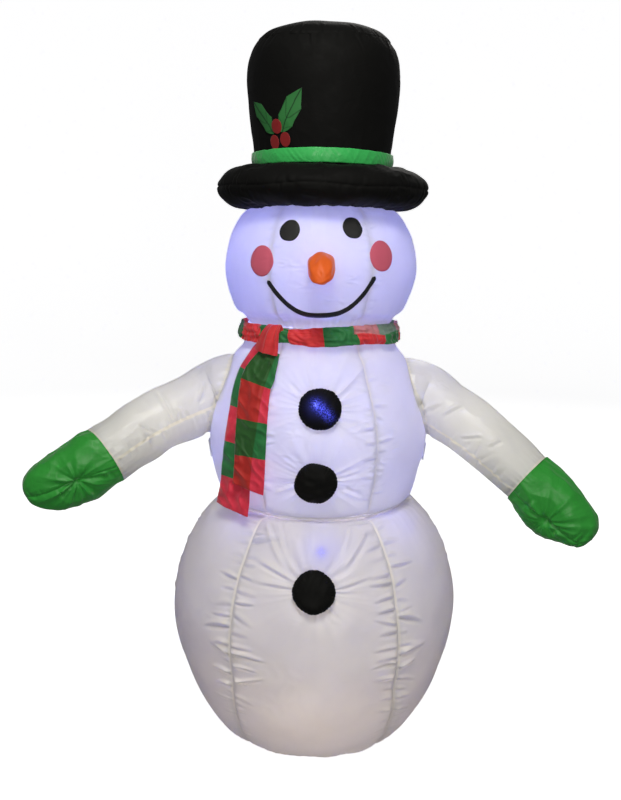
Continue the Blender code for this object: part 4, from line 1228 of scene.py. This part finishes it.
# Painted light: a blue lamp sparkle painted on the top button as emission; the button is no lamp.
SPARKLE = [
    (
        (-0.006 + 0.0050 * i, -0.1920, 0.6235 - 0.0048 * i), 0.0072, LAMP_BLUE, 0.62 - 0.08 * i, 0.0
    ) for i in range(6)
]
SPARKLE += [
    ((-0.005, -0.1920, 0.6205), 0.0036, (0.35, 0.42, 1.0), 0.55, 0.0),
    ((-0.004, -0.1910, 0.6170), 0.015, LAMP_BLUE, 0.10, 0.0)
]
black_top = cloth(
    "black_cloth_painted_sparkle", (0.0050, 0.0050, 0.0044), roughness=0.72, sheen=0.015, specular=0.12, spots=SPARKLE
)
nose()
for number, (name, (x, height)) in enumerate(BUTTONS.items()):
    button(name, x, height, 191 + 10 * number)


# Arms ------------------------------------------------------------------------
ARMS = {
    "left": {
        "line": [
            (-0.1050, 0.0, 0.6210), (-0.1450, 0.0, 0.6150), (-0.1830, 0.0, 0.6035),
            (-0.2180, -0.020, 0.5860), (-0.2660, -0.045, 0.5660), (-0.3130, -0.070, 0.5390),
            (-0.3508, -0.090, 0.5132)
        ],
        "radii": (0.0615, 0.0550, 0.0525, 0.0515),
        "tuck": (257.4, 0.0558),
        "creases": (
            ((350, 0.172), (274, 0.176)), ((302, 0.229), (268, 0.214)), ((318, 0.100), (285, 0.128))
        ),
        "tip": (-0.4790, -0.120, 0.4524),
        "taper": (0.22, 0.05),
        "sleeve_seam": math.radians(-91),
        "seam": math.radians(-103),
        "joint": (-0.172, 0.0, 0.606),
        "blend_end": (-0.215, -0.012, 0.590),
    },
    "right": {
        "line": [
            (0.1050, 0.0, 0.6240), (0.1450, 0.0, 0.6180), (0.1860, 0.0, 0.6065), (0.2167, -0.020, 0.5875),
            (0.2541, -0.040, 0.5660), (0.2950, -0.060, 0.5335), (0.3492, -0.085, 0.4867)
        ],
        "radii": (0.0595, 0.0535, 0.0495, 0.0470),
        "tuck": (120.0, 0.0693),
        "creases": (
            ((45, 0.158), (84, 0.140)), ((70, 0.210), (100, 0.185)), ((62, 0.130), (98, 0.112)),
            ((50, 0.235), (80, 0.228))
        ),
        "tip": (0.4541, -0.120, 0.3916),
        "taper": (0.08, 0.14),
        "sleeve_seam": math.radians(116),
        "seam": math.radians(118),
        "joint": (0.177, 0.0, 0.610),
        "blend_end": (0.218, -0.012, 0.593),
    },
}
MITTEN_SHAPE = [
    (0.0, 1.0, 1.0), (0.22, 1.10, 0.94), (0.46, 1.10, 0.86), (0.70, 0.98, 0.74), (0.88, 0.74, 0.54),
    (0.97, 0.42, 0.31), (1.0, 0.0, 0.0)
]


def curve_through(points, count):
    curve = smooth_curve(points, 400)
    way = np.concatenate([[0.0], np.cumsum(np.linalg.norm(np.diff(curve, axis=0), axis=1))])
    even = np.linspace(0, way[-1], count + 1)
    return np.stack([np.interp(even, way, column) for column in curve.T], axis=-1), even


def ring_axes(along):
    """Unit vectors across and up for each direction along a limb."""
    along = along / np.linalg.norm(along, axis=1)[:, None]
    across = np.cross(along, [0.0, 0.0, 1.0])
    across /= np.linalg.norm(across, axis=1)[:, None]
    return across, np.cross(across, along)


CREASE_HEIGHT, CREASE_WIDTH = 0.0022, 0.0038
LIMB_RADIUS = 0.053


def limb_crease(angle, along, start, end):
    """A crisp crease across a limb from one (degrees, way) point to another."""
    u = arc_apart(angle, math.radians(start[0])) * LIMB_RADIUS
    v = along - start[1]
    run = np.array([math.radians(end[0] - start[0]) * LIMB_RADIUS, end[1] - start[1]])
    long = float(np.linalg.norm(run))
    run /= long
    place = (u * run[0] + v * run[1]) / long
    off = (u * run[1] - v * run[0]) / CREASE_WIDTH
    fade = smoothstep(-0.05, 0.25, place) * (1 - smoothstep(0.75, 1.1, place))
    return CREASE_HEIGHT * fade * raised_and_sunk(off, 0.5)


def tuck(angle, along, radius, place, seed):
    """The dent and the star of folds where a limb's cloth is caught to its seam."""
    u = arc_apart(angle, math.radians(place[0])) * radius
    v = along - place[1]
    off = np.hypot(u, v)
    turn = np.arctan2(v, u)
    star = creased(ring_noise(turn, seed, 3, 6, 6)) + 0.5 * creased(ring_noise(turn, seed + 1, 6, 11, 6))
    dent = -0.0120 * np.exp(-off / 0.013)
    return dent + 0.0085 * star * np.exp(-off / 0.038) * smoothstep(0.001, 0.018, off)


def sleeve(side, shape, seed):
    line, way = curve_through(shape["line"], 150)
    across, up = ring_axes(np.gradient(line, axis=0))
    angle, along = around(240, way)
    length = way[-1]
    radius = np.interp(along, [0.06, 0.12, 0.20, length], shape["radii"])
    relief = np.zeros(angle.shape)
    for number, seam in enumerate((shape["sleeve_seam"], shape["sleeve_seam"] + math.pi)):
        relief += seam_folds(
            arc_apart(angle, seam) * radius, along, length, seed + number, 0.0034, 0.034, 52, valley=0.0005
        )
    way_out = up[:, None] * np.cos(angle)[..., None] + across[:, None] * np.sin(angle)[..., None]
    plain_tube = line[:, None] + way_out * radius[..., None]
    clear = np.hypot(plain_tube[..., 0], plain_tube[..., 1]) - radius_at(TORSO, plain_tube[..., 2])
    relief += gathers(
        angle, np.maximum(clear, 0), seed + 3, 13, 0.0018, 0.034
    ) * smoothstep(-0.006, 0.004, clear)
    relief -= 0.0020 * np.exp(-((clear - 0.002) / 0.005) ** 2)
    relief += gathers(angle, length - along, seed + 5, 14, 0.0012, 0.024)
    relief += 0.0014 * plane_noise(np.sin(angle) * 0.05, np.cos(angle) * 0.05 + along, seed + 7, 0.05, 0.14)
    relief += 0.0005 * creased(
        plane_noise(angle * 0.05, along * 0.55, seed + 9, 0.018, 0.050, 18)
    ) * smoothstep(-0.2, 0.8, ring_noise(angle + 4 * along, seed + 11, 1, 4))
    for start, end in shape["creases"]:
        relief += limb_crease(angle, along, start, end)
    radius = radius + relief
    points = line[:, None] + up[:, None] * (
        radius * np.cos(angle)
    )[..., None] + across[:, None] * (radius * np.sin(angle))[..., None]
    seam_apart = arc_apart(angle, shape["sleeve_seam"]) * 0.052
    strip = ((seam_apart > -0.0030) & (seam_apart < 0.0030)) * 1.0
    # Painted shade in the sleeve's deeper folds, read by the cloth's base colour.
    painted_crease_shade = np.clip((-relief - 0.0022) / 0.0050, 0, 1)
    thick = np.maximum(np.exp(-((clear / 0.008) ** 2)), np.exp(-(length - along) / 0.008))
    strip = np.maximum(strip, (length - along < 0.0035) * 1.0)
    strip = np.maximum(strip, (np.abs(clear - 0.004) < 0.0018) * 0.8)
    uv = pair(angle * 0.052, along)
    obj = grid_object(
        f"sleeve_{side}_cloth", points, close=True, uv=uv,
        marks={"seam": strip, "painted_crease_shade": painted_crease_shade, "thick": thick}, keep=outside_torso
    )
    bend = ("torso", f"arm_{side}", shape["joint"], shape["blend_end"])
    finish_piece(obj, white_sleeve, "white_cloth", f"sleeve_{side}", bend=bend, fill=1.0)


def outside_torso(middles):
    """Leaves out the part of a sleeve that would lie deep inside the torso."""
    return np.hypot(middles[:, 0], middles[:, 1]) > radius_at(TORSO, middles[:, 2]) - 0.008


def mitten(side, shape, seed):
    line = np.array(shape["line"])
    wrist, tip = line[-1], np.array(shape["tip"])
    last = shape["radii"][-1]
    length = float(np.linalg.norm(tip - wrist))
    profile = smooth_curve(MITTEN_SHAPE, 110)
    middle = wrist + (tip - wrist) * profile[:, :1]
    turn = (tip - wrist) / length
    ends = curve_through(shape["line"], 60)[0]
    first = ends[-1] - ends[-2]
    first /= np.linalg.norm(first)
    mix = smoothstep(0.0, 0.25, profile[:, :1])
    across, up = ring_axes(first * (1 - mix) + turn * mix)
    angle, row = around(200, np.arange(111))
    along = profile[row, 0] * length
    half_up, half_deep = profile[row, 1] * last, profile[row, 2] * last
    above, below = shape["taper"]
    high, share = 0.5 + 0.5 * np.cos(angle), profile[row, 0]
    wider = below * (1 - high) * smoothstep(0.0, 0.3, share) * (1 - smoothstep(0.5, 0.8, share))
    half_up = half_up * (1 - above * high * smoothstep(0.05, 0.50, share) + wider)
    relief = seam_folds(
        arc_apart(angle, shape["seam"]) * half_up, along, length, seed, 0.0030, 0.026, 48, valley=0.0034
    )
    relief += seam_folds(
        arc_apart(angle, shape["seam"] + math.pi) * half_up, along, length, seed + 1, 0.0024, 0.030, 50
    )
    relief += gathers(angle, along, seed + 3, 12, 0.0016, 0.024)
    relief += tuck(angle, along, half_up, shape["tuck"], seed + 5)
    relief += 0.0014 * creased(plane_noise(angle * 0.05, along, seed + 7, 0.030, 0.075, 16))
    relief += 0.0014 * plane_noise(np.sin(angle) * 0.05, np.cos(angle) * 0.05 + along, seed + 9, 0.05, 0.12)
    relief *= smoothstep(0.0, 0.35, profile[row, 1])
    up_part = (half_up + relief) * np.cos(angle)
    deep_part = (half_deep + relief) * np.sin(angle)
    points = middle[:, None] + up[:, None] * up_part[..., None] + across[:, None] * deep_part[..., None]
    obj = grid_object(f"mitten_{side}_cloth", points, close=True, uv=pair(angle * 0.05, along))
    finish_piece(obj, mitten_green, "green_cloth", f"mitten_{side}", body=f"arm_{side}", fill=0.9)


for number, (side, shape) in enumerate(ARMS.items()):
    sleeve(side, shape, 301 + 20 * number)
    mitten(side, shape, 341 + 20 * number)


# Scarf -----------------------------------------------------------------------
STRIPE = 0.0573


def scarf_material():
    """Printed red and green checks across the strip, on thin brushed cloth."""
    made = Nodes("scarf_cloth")
    run = made.attribute("run")
    part = made.math("FRACT", made.math("DIVIDE", run, 2 * STRIPE))
    green = made.ramp(part, 0.497, 0.503)
    tone = made.ramp(made.noise(made.coordinates(), 70.0, detail=3.0), 0.3, 0.7)
    red_shade = made.mix(tone, (0.80, 0.042, 0.050), (0.92, 0.062, 0.070))
    green_shade = made.mix(tone, (0.024, 0.225, 0.060), (0.036, 0.290, 0.080))
    # Painted light: the tails' red turned pinker, standing in for blue lamp light that comes through them.
    red_shade = made.mix(
        made.attribute("pink"), red_shade, made.mix(tone, (0.80, 0.040, 0.085), (0.95, 0.070, 0.130))
    )
    # Painted shade: darker red and green where the strip lies over another layer and less lamp light comes
    # through it.
    red_overlap_shade = made.mix(tone, (0.58, 0.030, 0.022), (0.70, 0.040, 0.030))
    green_overlap_shade = made.mix(tone, (0.026, 0.120, 0.020), (0.034, 0.165, 0.030))
    overlap_shade = made.attribute("overlap_shade")
    shade = made.mix(
        green, made.mix(overlap_shade, red_shade, red_overlap_shade), made.mix(overlap_shade, green_shade, green_overlap_shade)
    )
    # Painted light: the wrap's upper fold washed out towards pale grey.
    shade = made.mix(made.math("MULTIPLY", made.attribute("pale"), 0.45), shade, (0.62, 0.62, 0.66))
    normal = made.bump(made.noise(made.coordinates(), 45.0, ridged=True), 0.0005, 0.5)
    normal = made.bump(weave_height(made, 900.0), 0.00004, 0.5, normal)
    made.surface(
        Base_Color=shade, Roughness=0.62, Sheen_Weight=0.45, Sheen_Roughness=SHEEN_ROUGHNESS, Normal=normal
    )
    made.shine_through(0.25, shade)
    return made.material


scarf_cloth = scarf_material()


def scarf_wrap():
    """The turn round the neck: a folded strip with lengthwise creases."""
    angle, share = np.meshgrid(np.linspace(-math.pi, math.pi, 541)[:-1], np.linspace(0, 1, 33))
    turned = np.degrees(angle)
    low = 0.7055 + 0.0016 * ring_noise(angle, 401, 2, 7) + 0.0040 * np.exp(-(((turned + 24) / 13) ** 2))
    high = 0.7350 + 0.0018 * ring_noise(angle, 403, 2, 7) - 0.0052 * np.exp(
        -(((turned + 20) / 15) ** 2)
    ) + 0.0042 * np.exp(-(((turned - 52) / 24) ** 2))
    height = low + (high - low) * share
    crease = creased(plane_noise(angle * 0.137 * 0.30, share * 0.034, 405, 0.009, 0.024, 14))
    slant = creased(plane_noise(angle * 0.137, share * 0.034 + angle * 0.05, 406, 0.016, 0.045, 14))
    radius = 0.1362 - 0.0062 * share + 0.0024 * np.sin(math.pi * share)
    radius = radius + 0.0022 * crease + 0.0030 * slant + 0.0010 * ring_noise(angle, 407, 2, 9)
    radius += 0.0012 * np.exp(-((share - 0.62) / 0.03) ** 2) * smoothstep(
        -0.3, 0.3, ring_noise(angle, 409, 1, 4)
    )
    points = lathed(radius, angle, height)
    run = (angle - math.radians(2.6 - 24.3)) * 0.1351 + 0.004 * (share - 0.5)
    # Painted light: a washed-out pale patch along the upper edge on the wrap's right side.
    pale = smoothstep(
        0.50, 0.56, share + 0.06 * np.sin(angle * 9)
    ) * smoothstep(0.38, 0.46, angle) * (1 - smoothstep(1.9, 2.1, angle))
    marks = {"run": run + 0.012 * pale, "pale": pale, "overlap_shade": 0 * run}
    obj = grid_object(
        "scarf_wrap_cloth", points, close=True, uv=pair(angle * 0.137, share * 0.036), marks=marks
    )
    thicken(obj, 0.0010)
    finish_piece(obj, scarf_cloth, "scarf_check", "scarf_wrap", body="torso")
    return obj


def scarf_knot():
    """The knot: the strip comes up behind the wrap, folds over it in pleats and opens into the front tail."""
    profile = [
        (0.1360, 0.7240), (0.1385, 0.7320), (0.1430, 0.7365), (0.1490, 0.7350), (0.1545, 0.7250),
        (0.1565, 0.7125), (0.1560, 0.7020), (0.1566, 0.6922)
    ]
    widths = [0.0085, 0.0095, 0.0105, 0.0125, 0.0160, 0.0190, 0.0208, 0.0218]
    drifts = [0.0060, 0.0060, 0.0058, 0.0050, 0.0020, -0.0010, -0.0034, -0.0056]
    line = smooth_curve(profile, 90)
    shape = smooth_curve(list(zip(widths, drifts)), 90)
    across, row = np.meshgrid(np.linspace(-1, 1, 61), np.arange(91))
    share = row / 90.0
    pleat = creased(ring_noise(across * 1.5 + 0.3 * share, 411, 2, 4, 6))
    sag = np.abs(across) ** 3 * 0.0062
    radius = line[row, 0] - sag + 0.0050 * pleat * smoothstep(0.05, 0.30, share) * (
        1 - 0.5 * smoothstep(0.6, 1.0, share)
    )
    side = across * shape[row, 0] + shape[row, 1]
    angle = math.radians(-33.0) + side / radius
    height = line[row, 1] - 0.0040 * across * smoothstep(0.5, 1.0, share)
    points = lathed(radius, angle, height)
    # Painted shade on the knot, strongest where it comes up behind the wrap.
    marks = {"run": np.full(angle.shape, 0.5 * STRIPE), "pale": 0 * side, "overlap_shade": 0.30 * (1 - share)}
    obj = grid_object("scarf_knot_cloth", points, uv=pair(side, share * 0.07), marks=marks)
    thicken(obj, 0.0009, offset=-1.0)
    finish_piece(obj, scarf_cloth, "scarf_check", "scarf_knot", body="torso")


TAIL_LINES = {
    "scarf_tail_front": [
        (-0.0790, 0.6960), (-0.0832, 0.6830), (-0.0935, 0.6610), (-0.1020, 0.6388), (-0.1060, 0.5830),
        (-0.1080, 0.5227), (-0.1105, 0.4770)
    ],
    "scarf_tail_back": [
        (-0.0880, 0.6960), (-0.0975, 0.6800), (-0.1140, 0.6306), (-0.1209, 0.5848), (-0.1285, 0.5292),
        (-0.1335, 0.4700), (-0.1382, 0.4355)
    ],
}


def tail_line(name):
    return curve_through(TAIL_LINES[name], 150)


def scarf_tail(name, layer, boundary, seed):
    """One end of the strip, over the bulge and then down. Green turns to red at the height boundary."""
    line, way = tail_line(name)
    across, row = np.meshgrid(np.linspace(-1, 1, 41), np.arange(151))
    share = row / 150.0
    along = np.gradient(line, axis=0)
    along /= np.linalg.norm(along, axis=1)[:, None]
    narrow = 0.66 + 0.34 * smoothstep(0.0, 0.20, share)
    side = across * 0.0252 * narrow * (1 + (0.02 if layer else 0.10) * smoothstep(0.82, 1.0, share))
    cut = 0.0045 * across * smoothstep(0.9, 1.0, share) * (1 if layer else 0.2)
    x = line[row, 0] - along[row, 1] * side + along[row, 0] * cut
    z = line[row, 1] + along[row, 0] * side + along[row, 1] * cut
    bulge = smooth_curve(TORSO, 600)[:, 0].max()
    surface = np.where(z > 0.54, radius_at(TORSO, z), bulge)
    folds = creased(ring_noise(across * 1.6 + 0.5 * share, seed, 2, 5)) * (1 - smoothstep(0.05, 0.6, share))
    slant = creased(plane_noise(x, z + 0.5 * x, seed + 2, 0.020, 0.060, 14))
    waves = 0.0016 * plane_noise(x, z, seed + 1, 0.03, 0.09) + 0.0024 * folds + 0.0030 * slant
    lift = 0.0060 + 0.0062 * layer + waves + 0.0010 * np.abs(across) ** 3
    if layer:
        lift = np.maximum(lift, 0.0104)
    else:
        lift = np.clip(lift, 0.0036, 0.0086)
    out = np.sqrt((surface + lift) ** 2 - x**2)
    points = np.stack([x, -out, z], axis=-1)
    down = way[row]
    at_boundary = float(np.interp(-boundary, -line[:, 1], way))
    run = down - at_boundary
    overlap_shade = 0 * side
    # Painted shade where the front tail lies over the back tail.
    if layer:
        back, _ = tail_line("scarf_tail_back")
        edge = np.interp(-z, -back[:, 1], back[:, 0]) + 0.0250
        overlap_shade = 1 - smoothstep(-0.0008, 0.0008, x - edge)
    obj = grid_object(
        name + "_cloth", points, uv=pair(side, down),
        marks={"run": run, "overlap_shade": overlap_shade, "pale": 0 * side, "pink": 0 * side + 1}
    )
    thicken(obj, 0.0008)
    finish_piece(obj, scarf_cloth, "scarf_check", name, body="scarf_tails")


wrap = scarf_wrap()
scarf_knot()
scarf_tail("scarf_tail_back", 0, 0.6016, 421)
scarf_tail("scarf_tail_front", 1, 0.6440, 431)


# Fan, zipper, loops, lamps ---------------------------------------------------
ZIP_HALF = math.radians(15)
TEETH = 92


def zip_place(angle, across, lift):
    """A point beside the zipper's middle line: across is uphill, lift is out from the cloth."""
    rise = np.array([radius_at(LOWER, 0.350) - radius_at(LOWER, 0.340), 0.010])
    rise /= np.linalg.norm(rise)
    radius = radius_at(LOWER, ZIP_Z) + rise[0] * across + rise[1] * lift
    height = ZIP_Z + rise[1] * across - rise[0] * lift
    return lathed(radius, angle, height + 0 * angle)


def zipper():
    """The zipper's woven tape, its rows of teeth, and their material."""
    ends = np.linspace(math.pi - ZIP_HALF, math.pi + ZIP_HALF, 121)
    angle, across = np.meshgrid(ends, np.linspace(-0.012, 0.012, 25))
    stitch = 0.0003 * np.exp(-((np.abs(across) - 0.0098) / 0.0006) ** 2) * (np.sin(angle * 1500) > 0)
    points = zip_place(angle, across, 0.0016 + 0.0004 * np.cos(across * 260) + stitch)
    tape = grid_object("zipper_tape_cloth", points, uv=pair(angle * 0.23, across))
    thicken(tape, 0.0006)
    finish_piece(tape, zip_tape, "zip_tape", "zipper_tape", body="lower_body")
    bm = bmesh.new()
    row = ZIP_HALF * 0.985
    for i in range(TEETH):
        turn = math.pi - row + 2 * row * (i + 0.5) / TEETH
        side = 1 if i % 2 else -1
        middle = Vector(zip_place(np.array(turn), side * 0.0007, 0.0032))
        out = Vector(zip_place(np.array(turn), side * 0.0007, 0.0042)) - middle
        up = Vector(zip_place(np.array(turn), side * 0.0017, 0.0032)) - middle
        out.normalize()
        up.normalize()
        turned = Matrix((out.cross(up), up, out)).transposed().to_4x4()
        made = bmesh.ops.create_cube(bm, size=1.0)
        bmesh.ops.scale(bm, vec=(0.00085, 0.0036, 0.0019), verts=made["verts"])
        bmesh.ops.transform(bm, matrix=Matrix.Translation(middle) @ turned, verts=made["verts"])
    mesh = bpy.data.meshes.new("zipper_teeth")
    bm.to_mesh(mesh)
    bm.free()
    teeth = add_object("zipper_teeth", mesh)
    round_off = teeth.modifiers.new("round", "BEVEL")
    round_off.width, round_off.segments = 0.00025, 2
    dress(teeth, zip_teeth)
    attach(teeth, "lower_body")


zip_tape = cloth("zip_tape_cloth", (0.62, 0.62, 0.62), roughness=0.7, sheen=0.3, weave=True)
zip_teeth = plain("zip_teeth", (0.70, 0.70, 0.70), roughness=0.35)
zipper()
for node in ("blower_housing", "intake_grille", "impeller", "power_jack"):
    dress_node(node, fan_plastic)
dress_node("fan_motor", fan_metal)
for node in ("zipper_slider", "zipper_pull"):
    dress_node(node, zip_metal)
for node in ("tether_loop_left", "tether_loop_right"):
    dress_node(node, webbing)
for node in ("led_lamp_lower", "led_lamp_chest", "led_lamp_head"):
    dress_node(node, lamp_glow)


def cable():
    """The lighting cable once more, as a copy in the CAD node's place."""
    node = frame["nodes"]["lighting_cable"]
    obj = add_object("lighting_cable_run", node.data.copy())
    obj.matrix_world = node.matrix_world.copy()
    bend = ("lower_body", "torso", WAIST, WAIST_TOP)
    finish_piece(obj, cable_plastic, "cable", "lighting_cable", bend=bend)


cable()


# Studio ----------------------------------------------------------------------
def make_lights():
    """Plain soft studio light from in front and above, and the figure's own bluish lamps."""
    world = bpy.data.worlds.new("studio")
    world.use_nodes = True
    background = world.node_tree.nodes["Background"]
    background.inputs["Color"].default_value = (0.90, 0.92, 1.0, 1.0)
    background.inputs["Strength"].default_value = 0.105
    bpy.context.scene.world = world
    for name, place, aim, size, power in (
        ("key", (-0.05, -2.1, 3.2), (0, 0, 0.45), 0.8, 54.0),
        ("fill", (0.15, -3.4, 0.9), (0, 0, 0.6), 0.9, 30.0),
        ("back", (0.6, 2.6, 2.6), (0, 0, 0.7), 1.4, 26.0),
    ):
        data = bpy.data.lights.new(name, "AREA")
        data.size = size
        data.energy = power
        data.color = (1.0, 0.975, 0.93)
        obj = add_object(name, data)
        obj.location = place
        obj.rotation_euler = (Vector(aim) - Vector(place)).to_track_quat("-Z", "Y").to_euler()
    for name, place, colour, power in (
        ("glow_head", (-0.030, 0.025, 0.835), (0.18, 0.20, 1.0), 1.55),
        ("glow_brow", (-0.010, 0.030, 0.915), (0.26, 0.28, 1.0), 0.85),
        ("glow_chin", (0.015, -0.030, 0.752), (1.0, 0.90, 0.92), 0.24),
        ("glow_chest", (0.0, 0.010, 0.575), (0.22, 0.24, 1.0), 2.5),
        ("glow_belly", (0.0, -0.050, 0.465), (1.0, 0.92, 0.92), 0.42),
        ("glow_lower", (0.0, -0.105, 0.145), (1.0, 0.78, 0.50), 1.2),
        ("glow_lamp", (0.010, -0.150, 0.388), (0.20, 0.22, 1.0), 0.10),
        ("glow_waist_left", (-0.095, -0.105, 0.390), (0.20, 0.22, 1.0), 0.24),
        ("glow_waist_right", (0.110, -0.095, 0.388), (0.20, 0.22, 1.0), 0.34),
        ("glow_sleeve_left", (-0.270, -0.046, 0.562), (1.0, 0.98, 0.92), 0.05),
        ("glow_sleeve_right", (0.262, -0.044, 0.558), (1.0, 0.98, 0.92), 0.05),
        ("glow_shoulder_left", (-0.175, 0.0, 0.602), (0.30, 0.32, 1.0), 0.07),
        ("glow_shoulder_right", (0.175, 0.0, 0.606), (0.30, 0.32, 1.0), 0.07),
    ):
        data = bpy.data.lights.new(name, "POINT")
        data.energy = power
        data.color = colour
        data.shadow_soft_size = 0.02
        add_object(name, data).location = place


def make_floor():
    """One seamless pale sweep all round: floor, bend and wall."""
    arc = np.linspace(0, math.pi / 2, 25)
    radius = np.concatenate([np.linspace(0.01, 4.2, 12), 4.4 + 1.6 * np.sin(arc), [6.0]])
    height = np.concatenate([np.zeros(12), 1.6 - 1.6 * np.cos(arc), [7.0]]) - 0.0005
    angle, row = around(96, np.arange(len(radius)))
    points = lathed(radius[row], -angle, height[row])
    floor = grid_object("studio_sweep", points, close=True)
    made = Nodes("studio_pale")
    made.surface(
        Base_Color=(0.86, 0.86, 0.86, 1), Roughness=0.8, Emission_Color=(1, 1, 1, 1), Emission_Strength=0.84
    )
    dress(floor, made.material)
    floor.visible_diffuse = False
    floor.visible_glossy = False


make_lights()
make_floor()
